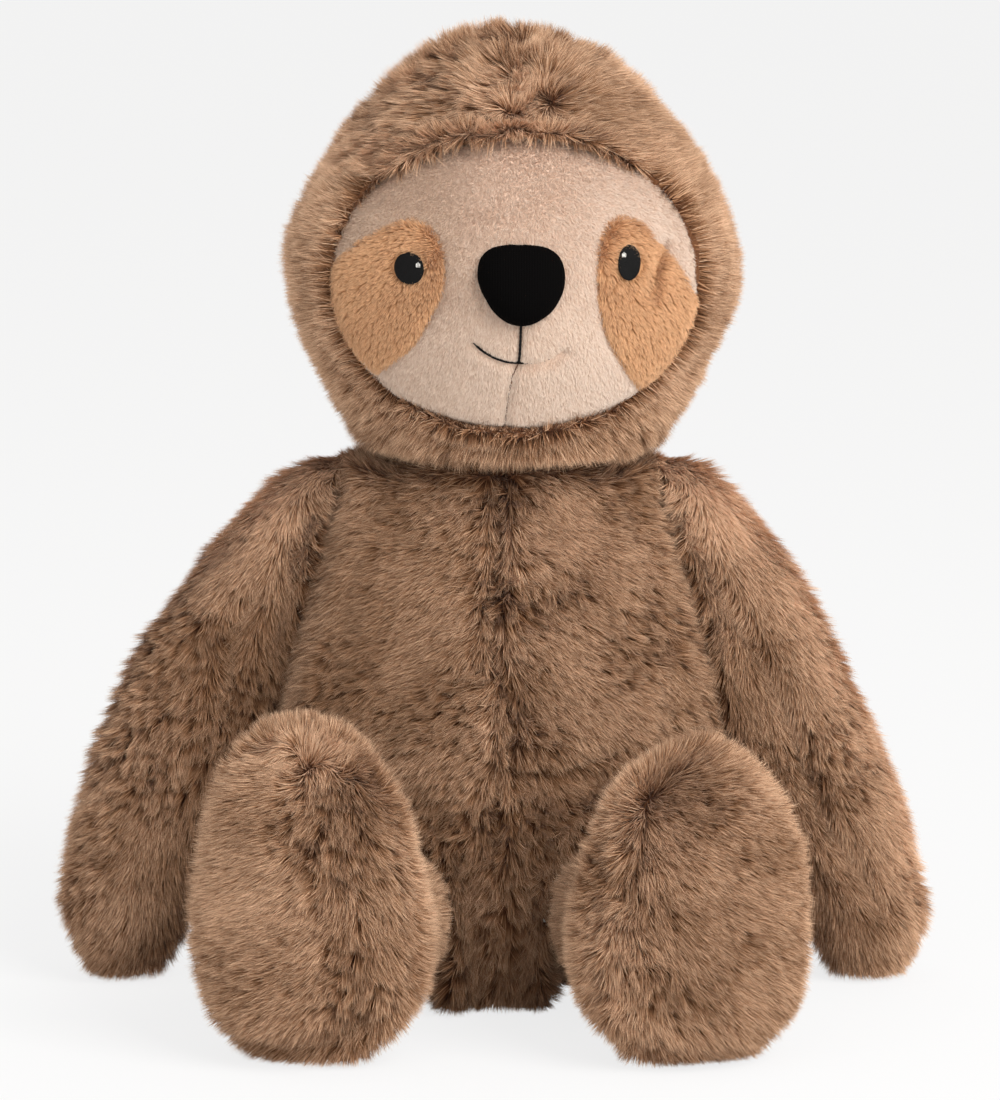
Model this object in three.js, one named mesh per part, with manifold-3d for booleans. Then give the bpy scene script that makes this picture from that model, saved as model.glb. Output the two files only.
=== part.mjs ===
// A seated plush sloth with a fur hood, a short-pile face, hanging arms and splayed legs.
// Millimetres, +Z up. The toy faces -Y, so its own left side is at +X.
// The origin is the middle of the flat seat. Outer surfaces are those of the fur, tips included.
import * as THREE from 'three';
import { mergeVertices } from 'three/addons/utils/BufferGeometryUtils.js';
import Module from 'manifold-3d';

const wasm = await Module();
wasm.setup();

// Clearances and cloth
const seamGap = 0.3; // between two pieces that are sewn or laid together
const furWall = 9; // fur pile and its backing cloth
const floorPress = 0.5; // how deep a resting form is flattened by the floor
const overrun = 400; // how far a cutter runs past what it cuts

// Torso: an upright pear, cut flat at the seat and at the neck
const torsoHeight = 194.6;
const torsoHalfWidth = 80;
const torsoHalfDepth = 62;
const torsoBackShare = 0.9; // the back is flatter than the belly
const crossSeamHeight = 90; // the seam across the belly between the legs
const seatPanelHeight = 13;
const torsoNeckRise = 22; // how far the pear runs on above the cut at the neck
// Rows of height, width and depth, from the base to the top of the uncut pear
const torsoShares = [
  [0, 0, 0],
  [0.001, 0.54, 0.66],
  [0.035, 0.77, 0.88],
  [0.11, 0.92, 0.97],
  [0.22, 0.99, 1],
  [0.34, 1, 1],
  [0.48, 0.975, 0.96],
  [0.64, 0.885, 0.87],
  [0.77, 0.785, 0.77],
  [0.87, 0.7, 0.69],
  [0.95, 0.52, 0.5],
  [1, 0, 0],
];

// Weighted pouch in the seat
const pouchHalfWidth = 34;
const pouchHalfDepth = 24;
const pouchHalfHeight = 12;
const pouchBehind = 14; // how far behind the middle of the seat it lies
const pouchLift = 17;

// Neck: the head turns on a round of closing thread
const neckSide = 1.5;
const neckForward = 2;
const neckThread = 0.6; // radius of the thread
const neckRoundRadius = 36;

// Head: a hood of two panels, cut flat at the neck
const headHeight = 154;
const headHalfWidth = 82.3;
const headHalfDepth = 68;
const headSide = 2.5; // the head's middle, from the neck's axis
const headForward = 6;
const headLean = 4; // how far its crown lies to the toy's left of its jaw
const headYaw = 2; // degrees, towards the toy's left
const headNeckDrop = 21; // how far the head form runs on below the cut at the neck
// Rows of height, width and depth, from under the jaw to the crown
const headShares = [
  [0, 0, 0],
  [0.035, 0.42, 0.48],
  [0.12, 0.645, 0.72],
  [0.2, 0.75, 0.8],
  [0.29, 0.86, 0.87],
  [0.4, 0.965, 0.95],
  [0.5, 1, 1],
  [0.58, 0.965, 0.99],
  [0.68, 0.87, 0.93],
  [0.78, 0.735, 0.8],
  [0.87, 0.585, 0.61],
  [0.95, 0.375, 0.38],
  [1, 0, 0],
];

// Face: a domed panel of short plush in the hood's opening
const faceHalfWidth = 64.5;
const faceHalfHeight = 51.2;
const faceMiddle = 64.4; // above the neck
const faceWall = 2.5;
const faceDomeHalfWidth = 74;
const faceDomeHalfHeight = 62;
const faceDomeDepth = 64;
const faceDomeSet = 6; // the dome's centre, in front of the head's middle
const muzzleRise = 8;
const muzzleRadius = 34;
const muzzleDrop = 6; // the muzzle's middle, below the face's
const faceBacking = 24; // depth behind the face panel that its filling reaches
const faceBackingShare = 0.96; // of the face's outline

// Pieces laid on the face, in layers from the face outwards
const patchThickness = 1.5;
const eyeThickness = 1.1;
const glintThickness = 0.5;
const patchRimGap = 1.6; // between an eye patch and the edge of the face
const patchMiddle = 43; // across from the face's middle
const patchHalfWidth = 21;
const patchHalfHeight = 28;
// Points round an eye patch, from the middle of its own width and height
const patchShares = [
  [0.2, 0.96],
  [0.62, 0.9],
  [0.9, 0.6],
  [0.93, 0.1],
  [0.72, -0.34],
  [0.38, -0.76],
  [-0.3, -1.1],
  [-1.1, -0.85],
  [-1.5, 0],
  [-0.8, 0.55],
];
const eyeMiddle = 38;
const eyeRise = 5.5;
const eyeHalfWidth = 5;
const eyeHalfHeight = 5.6;
const glintRadius = 0.9;
const glintSide = 2.6; // towards the toy's left in both eyes
const glintRise = 2.4;

// Nose: a knit cover over a wad
const noseHalfWidth = 18.4;
const noseHalfHeight = 14.2;
const noseHalfDepth = 12;
const noseRise = 2.2; // its middle, above the face's
const noseProud = 2; // its middle, in front of the face
const noseTaperShare = 0.42; // how much narrower it is at the bottom
const noseCloth = 1.2;

// Mouth threads
const mouthThread = 0.7; // radius
const mouthSink = 0.5; // clearance between thread and face
const philtrumTop = -13.5; // heights from the face's middle
const philtrumBottom = -22.3;
const smileHalfWidth = 14.5;
const smileBottom = -24.4;
const smileRise = 7;

// Arms: hang outside a sloping plane at the torso's side
const shoulderSide = 61;
const shoulderHeight = 169;
const shoulderTilt = 15.6; // degrees, the plane from upright
const shoulderTurn = 8; // degrees, the plane opens to the front
const armHalfThickness = 29;
const armHalfDepth = 26;
const armTop = 194; // the cap of the shoulder
const armReach = { left: 135, right: 138 }; // from the middle of the toy to the hand
const armTrail = 8; // how far behind the shoulder the hand rests
// Rows of reach, trail and height of the arm's middle line, from the shoulder's cap to the hand's tip
const armRouteShares = {
  left: [
    [0.43, 0, 1],
    [0.48, 0, 0.876],
    [0.655, 0.1, 0.711],
    [0.775, 0.5, 0.515],
    [0.885, 0.9, 0.32],
    [0.98, 1, 0.144],
    [1, 0.9, 0],
  ],
  right: [
    [0.42, 0, 1],
    [0.475, 0, 0.876],
    [0.665, 0.1, 0.711],
    [0.825, 0.5, 0.515],
    [0.925, 0.9, 0.32],
    [0.985, 1, 0.144],
    [1, 0.9, 0],
  ],
};
// Rows of length, thickness and depth, from shoulder to hand
const armShares = [
  [0, 0, 0],
  [0.03, 0.47, 0.48],
  [0.09, 0.8, 0.82],
  [0.18, 0.86, 0.95],
  [0.32, 0.86, 0.95],
  [0.5, 0.96, 1],
  [0.7, 1, 1],
  [0.86, 0.94, 0.94],
  [0.95, 0.7, 0.72],
  [0.985, 0.44, 0.45],
  [1, 0, 0],
];

// Legs: tubes that splay forward from the hips, each with an upright egg-shaped foot
const hipSide = 44;
const hipForward = 34;
const hipHeight = 38;
const legSplay = 15; // degrees
const legRadius = 30;
const legLength = 84; // hip to the middle of the foot
const hipLow = -15; // degrees, range of the hip's swing, foot up
const hipHigh = 75; // degrees, foot down
const hipClearance = 1.3; // round the leg's faceted end, which turns in its socket
const footHalfWidth = 43;
const footHalfDepth = 24;
const footHeight = { right: 123, left: 115 };
const soleSeam = 6; // from the foot's middle to the seam round the sole
const legShares = [
  [0, 0, 0],
  [0.03, 0.48, 0.48],
  [0.1, 0.83, 0.83],
  [0.2, 0.98, 0.98],
  [0.35, 1, 1],
  [0.65, 0.97, 0.97],
  [0.88, 0.9, 0.9],
  [0.97, 0.5, 0.5],
  [1, 0, 0],
];
const footShares = [
  [0, 0, 0],
  [0.001, 0.3, 0.34],
  [0.05, 0.64, 0.7],
  [0.13, 0.86, 0.9],
  [0.26, 0.98, 1],
  [0.4, 1, 1],
  [0.58, 0.95, 0.98],
  [0.74, 0.84, 0.88],
  [0.88, 0.62, 0.66],
  [0.96, 0.36, 0.4],
  [1, 0, 0],
];

// Facets
const bodySides = 20;
const limbSides = 14;
const bodyRings = 12;
const limbRings = 11;
const faceRings = 5;
const faceSides = 24;
const outlineSides = 24;
const threadSides = 6;
const threadSteps = 12;

const degree = Math.PI / 180;
const up = new THREE.Vector3(0, 0, 1);
const across = new THREE.Vector3(1, 0, 0);
const backward = new THREE.Vector3(0, 1, 0);

// Solids and meshes

function toSolid(geometry) {
  const bare = geometry.clone();
  bare.deleteAttribute('normal');
  bare.deleteAttribute('uv');
  const merged = mergeVertices(bare);
  return new wasm.Manifold(new wasm.Mesh({
    numProp: 3,
    vertProperties: new Float32Array(merged.attributes.position.array),
    triVerts: new Uint32Array(merged.index.array),
  }));
}

function toGeometry(solid) {
  const { vertProperties, triVerts } = solid.getMesh();
  const geometry = new THREE.BufferGeometry();
  geometry.setAttribute('position', new THREE.BufferAttribute(vertProperties, 3));
  geometry.setIndex(new THREE.BufferAttribute(triVerts, 1));
  geometry.computeVertexNormals();
  return geometry;
}

// A cut can leave crumbs beside the piece, and only the piece is kept
function largest(solid) {
  const parts = solid.decompose();
  return parts.reduce((best, part) => (part.volume() > best.volume() ? part : best));
}

function material(color, roughness) {
  return new THREE.MeshStandardMaterial({ color, roughness, metalness: 0 });
}

function piece(name, solid, finish) {
  const mesh = new THREE.Mesh(toGeometry(largest(solid)), finish);
  mesh.name = name;
  return mesh;
}

// A block from one corner to the other; a limit that is left out runs past everything
function block({ left = -overrun, right = overrun, front = -overrun, back = overrun,
  bottom = -overrun, top = overrun }) {
  const geometry = new THREE.BoxGeometry(right - left, back - front, top - bottom);
  geometry.translate((left + right) / 2, (front + back) / 2, (bottom + top) / 2);
  return toSolid(geometry);
}

// Closed skin from rings of points between two poles, turned to face outwards
function closedSkin(firstPole, rings, lastPole) {
  const sides = rings[0].length;
  const points = [firstPole, ...rings.flat(), lastPole];
  const faces = [];
  const at = (ring, side) => 1 + ring * sides + (side % sides);
  const last = points.length - 1;
  for (let side = 0; side < sides; side += 1) {
    faces.push(0, at(0, side + 1), at(0, side));
    faces.push(last, at(rings.length - 1, side), at(rings.length - 1, side + 1));
    for (let ring = 0; ring < rings.length - 1; ring += 1) {
      faces.push(at(ring, side), at(ring, side + 1), at(ring + 1, side + 1));
      faces.push(at(ring, side), at(ring + 1, side + 1), at(ring + 1, side));
    }
  }
  if (signedVolume(points, faces) < 0) faces.reverse();
  const geometry = new THREE.BufferGeometry().setFromPoints(points);
  geometry.setIndex(faces);
  return geometry;
}

function signedVolume(points, faces) {
  let volume = 0;
  const cross = new THREE.Vector3();
  for (let i = 0; i < faces.length; i += 3) {
    cross.crossVectors(points[faces[i + 1]], points[faces[i + 2]]);
    volume += points[faces[i]].dot(cross);
  }
  return volume;
}

// A form that swells and tapers along a spine. Rows of shares give its half sizes on the way.
function stuffedForm({ spine, shares, halfAcross, halfThrough, acrossLine, rings, sides,
  backShare = 1 }) {
  const profile = new THREE.CatmullRomCurve3(shares.map((row) => new THREE.Vector3(...row)));
  const skin = [];
  for (let ring = 1; ring < rings; ring += 1) {
    const { x: along, y: wide, z: deep } = profile.getPoint(ring / rings);
    const middle = spine.getPointAt(along);
    const tangent = spine.getTangentAt(along);
    const sideways = acrossLine.clone().addScaledVector(tangent, -acrossLine.dot(tangent));
    sideways.normalize();
    const through = new THREE.Vector3().crossVectors(tangent, sideways);
    const loop = [];
    for (let side = 0; side < sides; side += 1) {
      const angle = (2 * Math.PI * side) / sides;
      const reach = Math.sin(angle) * deep * halfThrough;
      const behind = reach * through.y > 0 ? backShare : 1;
      loop.push(middle.clone()
        .addScaledVector(sideways, Math.cos(angle) * wide * halfAcross)
        .addScaledVector(through, reach * behind));
    }
    skin.push(loop);
  }
  return closedSkin(spine.getPointAt(0), skin, spine.getPointAt(1));
}

// The same form with its skin moved inwards, or outwards where the depth is negative
function inset(form, depth) {
  const moved = form.clone();
  moved.computeVertexNormals();
  const place = moved.attributes.position;
  const normal = moved.attributes.normal;
  for (let i = 0; i < place.count; i += 1) {
    place.setXYZ(i,
      place.getX(i) - normal.getX(i) * depth,
      place.getY(i) - normal.getY(i) * depth,
      place.getZ(i) - normal.getZ(i) * depth);
  }
  return moved;
}

function upright(bottom, top, y = 0) {
  return new THREE.LineCurve3(new THREE.Vector3(0, y, bottom), new THREE.Vector3(0, y, top));
}

// Finishes
const brownFur = material(0x8f6a4d, 0.95);
const facePlush = material(0xd6b297, 0.9);
const patchPlush = material(0xb98a60, 0.9);
const blackKnit = material(0x0c0c0c, 0.85);
const blackThread = material(0x111111, 0.5);
const whiteThread = material(0xe8e4dc, 0.5);
const fibreFill = material(0xf0eee8, 1);
const pouchCloth = material(0xd9d2c4, 0.9);
const seamThread = material(0x6d4f38, 0.7);

// Arms

// The plane at the toy's side: its normal points outwards, slightly up and slightly back
function shoulderNormal(side) {
  const tilt = shoulderTilt * degree;
  const turn = shoulderTurn * degree;
  return new THREE.Vector3(
    side * Math.cos(turn) * Math.cos(tilt),
    Math.sin(turn) * Math.cos(tilt),
    Math.sin(tilt));
}

// Everything outside that plane, moved outwards by a clearance
function outsideShoulder(side, clearance) {
  const normal = shoulderNormal(side);
  const geometry = new THREE.BoxGeometry(overrun, overrun, overrun);
  geometry.translate(0, 0, overrun / 2 + clearance);
  geometry.applyQuaternion(new THREE.Quaternion().setFromUnitVectors(up, normal));
  geometry.translate(side * shoulderSide, 0, shoulderHeight);
  return toSolid(geometry);
}

function armSpine(sideName, side) {
  const tip = -floorPress;
  return new THREE.CatmullRomCurve3(armRouteShares[sideName].map(([reach, trail, height]) => (
    new THREE.Vector3(
      side * armReach[sideName] * reach, armTrail * trail, tip + (armTop - tip) * height))));
}

function armForm(spine) {
  return stuffedForm({
    spine,
    shares: armShares,
    halfAcross: armHalfDepth,
    halfThrough: armHalfThickness,
    acrossLine: backward,
    rings: limbRings,
    sides: limbSides,
  });
}

// Two fur panels meet in a seam down the front and back of the arm, and hold the filling
function arm(sideName, side) {
  const spine = armSpine(sideName, side);
  const form = armForm(spine);
  const shell = toSolid(form)
    .subtract(toSolid(inset(form, furWall)))
    .intersect(outsideShoulder(side, 0))
    .intersect(block({ bottom: 0 }));
  const seam = armSeam(spine, side);
  const filling = toSolid(inset(form, furWall + seamGap))
    .intersect(outsideShoulder(side, 0))
    .intersect(block({ bottom: 0 }));
  const group = new THREE.Group();
  group.position.set(side * shoulderSide, 0, shoulderHeight);
  const toPivot = [-side * shoulderSide, 0, -shoulderHeight];
  group.add(
    piece(`arm_outer_${sideName}`, shell.intersect(seam.outer).translate(toPivot), brownFur),
    piece(`arm_inner_${sideName}`, shell.intersect(seam.inner).translate(toPivot), brownFur),
    piece(`arm_stuffing_${sideName}`, filling.translate(toPivot), fibreFill),
  );
  return group;
}

// The two sides of the sheet that follows the arm's middle line
function armSeam(spine, side) {
  const points = spine.getPoints(limbRings).map(({ x, z }) => [side * x, z]);
  const [topX, topZ] = points[0];
  const [handX, handZ] = points[points.length - 1];
  const half = (shift, farX) => {
    const outline = new THREE.Shape();
    outline.moveTo(side * farX, handZ - overrun);
    outline.lineTo(side * farX, topZ + overrun);
    outline.lineTo(side * (topX + shift - overrun * Math.tan(shoulderTilt * degree)), topZ + overrun);
    points.forEach(([x, z]) => outline.lineTo(side * (x + shift), z));
    outline.lineTo(side * (handX + shift), handZ - overrun);
    const geometry = new THREE.ExtrudeGeometry(outline, { depth: 2 * overrun, bevelEnabled: false });
    geometry.translate(0, 0, -overrun);
    geometry.rotateX(90 * degree);
    return toSolid(geometry);
  };
  return { outer: half(seamGap / 2, 2 * overrun), inner: half(-seamGap / 2, -2 * overrun) };
}

// Legs, in a frame with its origin at the hip and its foot towards -Y

function legTube() {
  return stuffedForm({
    spine: new THREE.LineCurve3(
      new THREE.Vector3(0, legRadius, 0),
      new THREE.Vector3(0, -legLength - footHalfDepth / 2, 0)),
    shares: legShares,
    halfAcross: legRadius,
    halfThrough: legRadius,
    acrossLine: across,
    rings: limbRings,
    sides: limbSides,
  });
}

function footForm(height) {
  const bottom = -hipHeight - floorPress;
  return stuffedForm({
    spine: upright(bottom, height - hipHeight, -legLength),
    shares: footShares,
    halfAcross: footHalfWidth,
    halfThrough: footHalfDepth,
    acrossLine: across,
    rings: limbRings,
    sides: limbSides,
  });
}

function leg(sideName, side) {
  const floor = block({ bottom: -hipHeight });
  const tube = legTube();
  const foot = footForm(footHeight[sideName]);
  const filled = (depth) => toSolid(inset(tube, depth)).add(toSolid(inset(foot, depth)));
  const shell = filled(0).subtract(filled(furWall)).intersect(floor);
  const seamY = -legLength - soleSeam;
  const group = new THREE.Group();
  group.position.set(side * hipSide, -hipForward, hipHeight);
  group.rotation.z = side * legSplay * degree;
  group.add(
    piece(`leg_cover_${sideName}`, shell.intersect(block({ front: seamY + seamGap / 2 })), brownFur),
    piece(`sole_panel_${sideName}`, shell.intersect(block({ back: seamY - seamGap / 2 })), brownFur),
    piece(`leg_stuffing_${sideName}`, filled(furWall + seamGap), fibreFill),
  );
  return group;
}

// The space that a leg sweeps as it swings, in the torso's frame
function legSweep(side, clearance) {
  const reach = legRadius + clearance;
  const raised = toSolid(inset(legTube(), -clearance)).rotate([hipLow, 0, 0]);
  const towards = (angle, length) => new THREE.Vector2(
    -Math.cos(angle * degree) * length, -Math.sin(angle * degree) * length);
  const heel = towards(hipHigh + 90, reach);
  const sector = new THREE.Shape([
    new THREE.Vector2(0, 0),
    towards(hipLow, overrun),
    towards((hipLow + hipHigh) / 2, 2 * overrun),
    towards(hipHigh, overrun).add(heel),
    heel,
  ]);
  const wedge = new THREE.ExtrudeGeometry(sector, { depth: 2 * reach, bevelEnabled: false });
  wedge.translate(0, 0, -reach);
  wedge.applyMatrix4(new THREE.Matrix4().makeBasis(backward, up, across));
  const socket = new THREE.SphereGeometry(reach, 2 * limbSides, limbSides);
  return raised.add(toSolid(wedge)).add(toSolid(socket))
    .rotate([0, 0, side * legSplay])
    .translate([side * hipSide, -hipForward, hipHeight]);
}

// Torso

function torsoForm() {
  return stuffedForm({
    spine: upright(-floorPress, torsoHeight + torsoNeckRise),
    shares: torsoShares,
    halfAcross: torsoHalfWidth,
    halfThrough: torsoHalfDepth,
    acrossLine: across,
    rings: bodyRings,
    sides: bodySides,
    backShare: torsoBackShare,
  });
}

function pouchSolid(clearance) {
  const geometry = new THREE.SphereGeometry(1, limbSides, limbSides / 2);
  geometry.scale(
    pouchHalfWidth + clearance, pouchHalfDepth + clearance, pouchHalfHeight + clearance);
  geometry.translate(0, pouchBehind, pouchLift);
  return toSolid(geometry);
}

function torso() {
  const form = torsoForm();
  const trim = (solid, clearance) => solid
    .intersect(block({ bottom: 0, top: torsoHeight }))
    .subtract(outsideShoulder(-1, -seamGap))
    .subtract(outsideShoulder(1, -seamGap))
    .subtract(legSweep(-1, clearance))
    .subtract(legSweep(1, clearance));
  const shell = trim(toSolid(form).subtract(toSolid(inset(form, furWall))), hipClearance);
  const half = seamGap / 2;
  const sides = { left: { left: half }, right: { right: -half } };
  const levels = {
    torso_front: { back: -half, bottom: crossSeamHeight + half },
    torso_lower: { back: -half, bottom: seatPanelHeight + half, top: crossSeamHeight - half },
    torso_back: { front: half, bottom: seatPanelHeight + half },
  };
  const group = new THREE.Group();
  for (const [name, level] of Object.entries(levels)) {
    for (const [sideName, side] of Object.entries(sides)) {
      const panel = shell.intersect(block({ ...level, ...side }));
      group.add(piece(`${name}_${sideName}`, panel, brownFur));
    }
  }
  const cavity = trim(toSolid(inset(form, furWall + seamGap)), hipClearance + seamGap);
  group.add(
    piece('seat_panel', shell.intersect(block({ top: seatPanelHeight - half })), brownFur),
    piece('bean_pouch', cavity.intersect(pouchSolid(0)), pouchCloth),
    piece('torso_stuffing', cavity.subtract(pouchSolid(seamGap)), fibreFill),
  );
  return group;
}

// Neck

function neckStitch() {
  const thread = new THREE.TorusGeometry(
    neckRoundRadius, neckThread, threadSides, 2 * threadSteps);
  thread.translate(neckSide, -neckForward, torsoHeight + seamGap + neckThread);
  return piece('neck_stitch', toSolid(thread), seamThread);
}

// Head, in a frame with its origin on the neck's axis at the head's flat base

function headForm() {
  return stuffedForm({
    spine: new THREE.LineCurve3(
      new THREE.Vector3(headSide - headLean / 2, -headForward, -headNeckDrop),
      new THREE.Vector3(headSide + headLean / 2, -headForward, headHeight)),
    shares: headShares,
    halfAcross: headHalfWidth,
    halfThrough: headHalfDepth,
    acrossLine: across,
    rings: bodyRings,
    sides: bodySides,
  });
}

// Depth of the face's front at a place across and above the face's middle
function faceDepth(x, rise) {
  const wide = x / faceDomeHalfWidth;
  const tall = rise / faceDomeHalfHeight;
  const dome = faceDomeDepth * Math.sqrt(Math.max(0, 1 - wide * wide - tall * tall));
  const away = Math.hypot(x, rise + muzzleDrop) / muzzleRadius;
  const muzzle = muzzleRise * Math.exp(-away * away);
  return -faceDomeSet - dome - muzzle;
}

// A slab that follows the face, from one depth in front of it to one behind
function faceSlab({ grow = 0, front, back }) {
  const layer = (depthAt) => {
    const rings = [];
    for (let ring = 1; ring <= faceRings; ring += 1) {
      const loop = [];
      for (let side = 0; side < faceSides; side += 1) {
        const angle = (2 * Math.PI * side) / faceSides;
        const out = ring / faceRings;
        const x = Math.cos(angle) * (faceHalfWidth + grow) * out;
        const rise = Math.sin(angle) * (faceHalfHeight + grow) * out;
        loop.push(new THREE.Vector3(headSide + x, depthAt(x, rise), faceMiddle + rise));
      }
      rings.push(loop);
    }
    return rings;
  };
  const pole = (depthAt) => new THREE.Vector3(headSide, depthAt(0, 0), faceMiddle);
  const skin = [...layer(front), ...layer(back).reverse()];
  return toSolid(closedSkin(pole(front), skin, pole(back)));
}

// A layer of cloth on the face, its inner side a distance in front of the face
function faceLayer(lift, thickness, grow) {
  return faceSlab({
    grow,
    front: (x, rise) => faceDepth(x, rise) - lift - thickness,
    back: (x, rise) => faceDepth(x, rise) - lift,
  });
}

// An outline drawn on the face, as a solid that runs forward from the head's middle
function faceCutter(outline) {
  const geometry = new THREE.ExtrudeGeometry(outline, {
    depth: overrun, bevelEnabled: false, curveSegments: threadSteps / 2,
  });
  geometry.rotateX(90 * degree);
  geometry.translate(headSide, 0, faceMiddle);
  return toSolid(geometry);
}

function faceEllipse(x, rise, halfWidth, halfHeight) {
  const outline = new THREE.Shape();
  outline.absellipse(x, rise, halfWidth, halfHeight, 0, 2 * Math.PI);
  return faceCutter(outline);
}

// What lies behind the face's front, for cutting the pieces that sit on it
function behindFace(clearance) {
  return faceSlab({
    front: (x, rise) => faceDepth(x, rise) - clearance,
    back: () => 0,
  });
}

function hoodPanels() {
  const form = headForm();
  const opening = faceSlab({ grow: seamGap, front: () => -overrun, back: () => 0 });
  const shell = toSolid(form)
    .subtract(toSolid(inset(form, furWall)))
    .subtract(opening)
    .intersect(block({ bottom: 0 }));
  const half = seamGap / 2;
  return [
    piece('hood_left', shell.intersect(block({ left: headSide + half })), brownFur),
    piece('hood_right', shell.intersect(block({ right: headSide - half })), brownFur),
  ];
}

function headFilling() {
  const clear = faceWall + seamGap;
  const cavity = toSolid(inset(headForm(), furWall + seamGap)).intersect(block({ bottom: 0 }));
  const inFront = faceSlab({
    grow: seamGap,
    front: () => -overrun,
    back: (x, rise) => faceDepth(x, rise) + clear,
  });
  const backing = faceSlab({
    front: (x, rise) => faceDepth(x, rise) + clear,
    back: (x, rise) => faceDepth(x, rise) + clear + faceBacking,
  }).intersect(faceEllipse(
    0, 0, faceHalfWidth * faceBackingShare, faceHalfHeight * faceBackingShare));
  return piece('head_stuffing', cavity.subtract(inFront).add(backing), fibreFill);
}

function facePanel() {
  const cloth = faceSlab({
    front: (x, rise) => faceDepth(x, rise),
    back: (x, rise) => faceDepth(x, rise) + faceWall,
  });
  return piece('face_panel', cloth, facePlush);
}

function eyePieces(sideName, side) {
  const outline = new THREE.CatmullRomCurve3(
    patchShares.map(([wide, tall]) => new THREE.Vector3(
      side * (patchMiddle - wide * patchHalfWidth), tall * patchHalfHeight, 0)),
    true);
  const patchShape = new THREE.Shape(outline.getPoints(outlineSides).slice(1));
  const patch = faceLayer(seamGap, patchThickness, -patchRimGap).intersect(faceCutter(patchShape));
  const eyeLift = patchThickness + 2 * seamGap;
  const eye = faceLayer(eyeLift, eyeThickness, 0)
    .intersect(faceEllipse(side * eyeMiddle, eyeRise, eyeHalfWidth, eyeHalfHeight));
  const glint = faceLayer(eyeLift + eyeThickness + seamGap, glintThickness, 0)
    .intersect(faceEllipse(
      side * eyeMiddle + glintSide, eyeRise + glintRise, glintRadius, glintRadius));
  return [
    piece(`eye_patch_${sideName}`, patch, patchPlush),
    piece(`eye_${sideName}`, eye, blackThread),
    piece(`eye_glint_${sideName}`, glint, whiteThread),
  ];
}

// The nose is wide and flat at the top and narrows to a round tip below
function noseForm(clearance) {
  const geometry = new THREE.SphereGeometry(1, limbSides, limbSides / 2 + 2);
  const place = geometry.attributes.position;
  for (let i = 0; i < place.count; i += 1) {
    const narrow = 1 - noseTaperShare * (0.5 - place.getY(i) / 2);
    place.setX(i, place.getX(i) * narrow);
  }
  geometry.rotateX(90 * degree);
  geometry.scale(
    noseHalfWidth - clearance, noseHalfDepth - clearance, noseHalfHeight - clearance);
  geometry.translate(headSide, faceDepth(0, noseRise) - noseProud, faceMiddle + noseRise);
  return toSolid(geometry);
}

function nosePieces() {
  const cover = noseForm(0).subtract(noseForm(noseCloth)).subtract(behindFace(seamGap));
  const padding = noseForm(noseCloth + seamGap).subtract(behindFace(seamGap));
  return [
    piece('nose_cover', cover, blackKnit),
    piece('nose_padding', padding, fibreFill),
  ];
}

// A thread laid on the face through places given across and above its middle
function faceThread(name, places) {
  const lift = mouthSink + mouthThread;
  const route = new THREE.CatmullRomCurve3(places.map(([x, rise]) => new THREE.Vector3(
    headSide + x, faceDepth(x, rise) - lift, faceMiddle + rise)));
  const section = new THREE.Shape();
  section.absarc(0, 0, mouthThread, 0, 2 * Math.PI);
  const geometry = new THREE.ExtrudeGeometry(section, {
    steps: threadSteps, extrudePath: route, curveSegments: threadSides / 2,
  });
  return piece(name, toSolid(geometry), blackThread);
}

function mouth() {
  const smile = [-1, -0.55, 0, 0.6, 0.95].map((share) => [
    share * smileHalfWidth, smileBottom + smileRise * share * share]);
  return [
    faceThread('philtrum_thread', [
      [0, philtrumTop], [0, (philtrumTop + philtrumBottom) / 2], [0, philtrumBottom]]),
    faceThread('smile_thread', smile),
  ];
}

function head() {
  const group = new THREE.Group();
  group.position.set(neckSide, -neckForward, torsoHeight + 2 * (seamGap + neckThread));
  group.rotation.z = headYaw * degree;
  group.add(...hoodPanels(), facePanel(), headFilling(), ...nosePieces(), ...mouth());
  group.add(...eyePieces('left', 1), ...eyePieces('right', -1));
  return group;
}

const sloth = new THREE.Group();
sloth.add(torso(), neckStitch(), head());
sloth.add(arm('left', 1), arm('right', -1), leg('left', 1), leg('right', -1));

export default sloth;
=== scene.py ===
# %% [markdown]
# # A seated plush sloth
#
# The toy is a set of sewn fur covers over soft filling, with a short-pile face let into a fur
# hood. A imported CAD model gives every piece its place. This notebook loads that model and dresses
# it: smooth covers, fur made of small blades, plush, knit and thread, then a floor, soft light and
# a camera. Blender's lengths are metres. The sums on arrays of points are in millimetres. The toy
# faces -Y, so its own left side is at +X.

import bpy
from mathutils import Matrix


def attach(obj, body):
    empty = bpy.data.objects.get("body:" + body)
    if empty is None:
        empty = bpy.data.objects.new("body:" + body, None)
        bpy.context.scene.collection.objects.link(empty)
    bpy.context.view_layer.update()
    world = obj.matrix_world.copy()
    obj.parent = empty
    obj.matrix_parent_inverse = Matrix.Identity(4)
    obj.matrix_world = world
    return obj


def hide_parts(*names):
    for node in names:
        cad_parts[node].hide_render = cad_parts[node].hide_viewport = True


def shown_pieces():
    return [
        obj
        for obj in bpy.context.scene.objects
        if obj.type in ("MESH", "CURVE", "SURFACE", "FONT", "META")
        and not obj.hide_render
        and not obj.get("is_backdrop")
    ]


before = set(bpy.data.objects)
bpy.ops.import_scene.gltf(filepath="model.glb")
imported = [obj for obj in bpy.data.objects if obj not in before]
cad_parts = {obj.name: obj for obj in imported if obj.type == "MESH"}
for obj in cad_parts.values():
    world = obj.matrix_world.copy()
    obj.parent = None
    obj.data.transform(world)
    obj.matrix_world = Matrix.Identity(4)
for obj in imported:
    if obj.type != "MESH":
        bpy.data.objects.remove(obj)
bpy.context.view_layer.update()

# %% Libraries
import math

import bmesh
import bpy
import numpy as np
from mathutils import Matrix, Vector, noise

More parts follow.
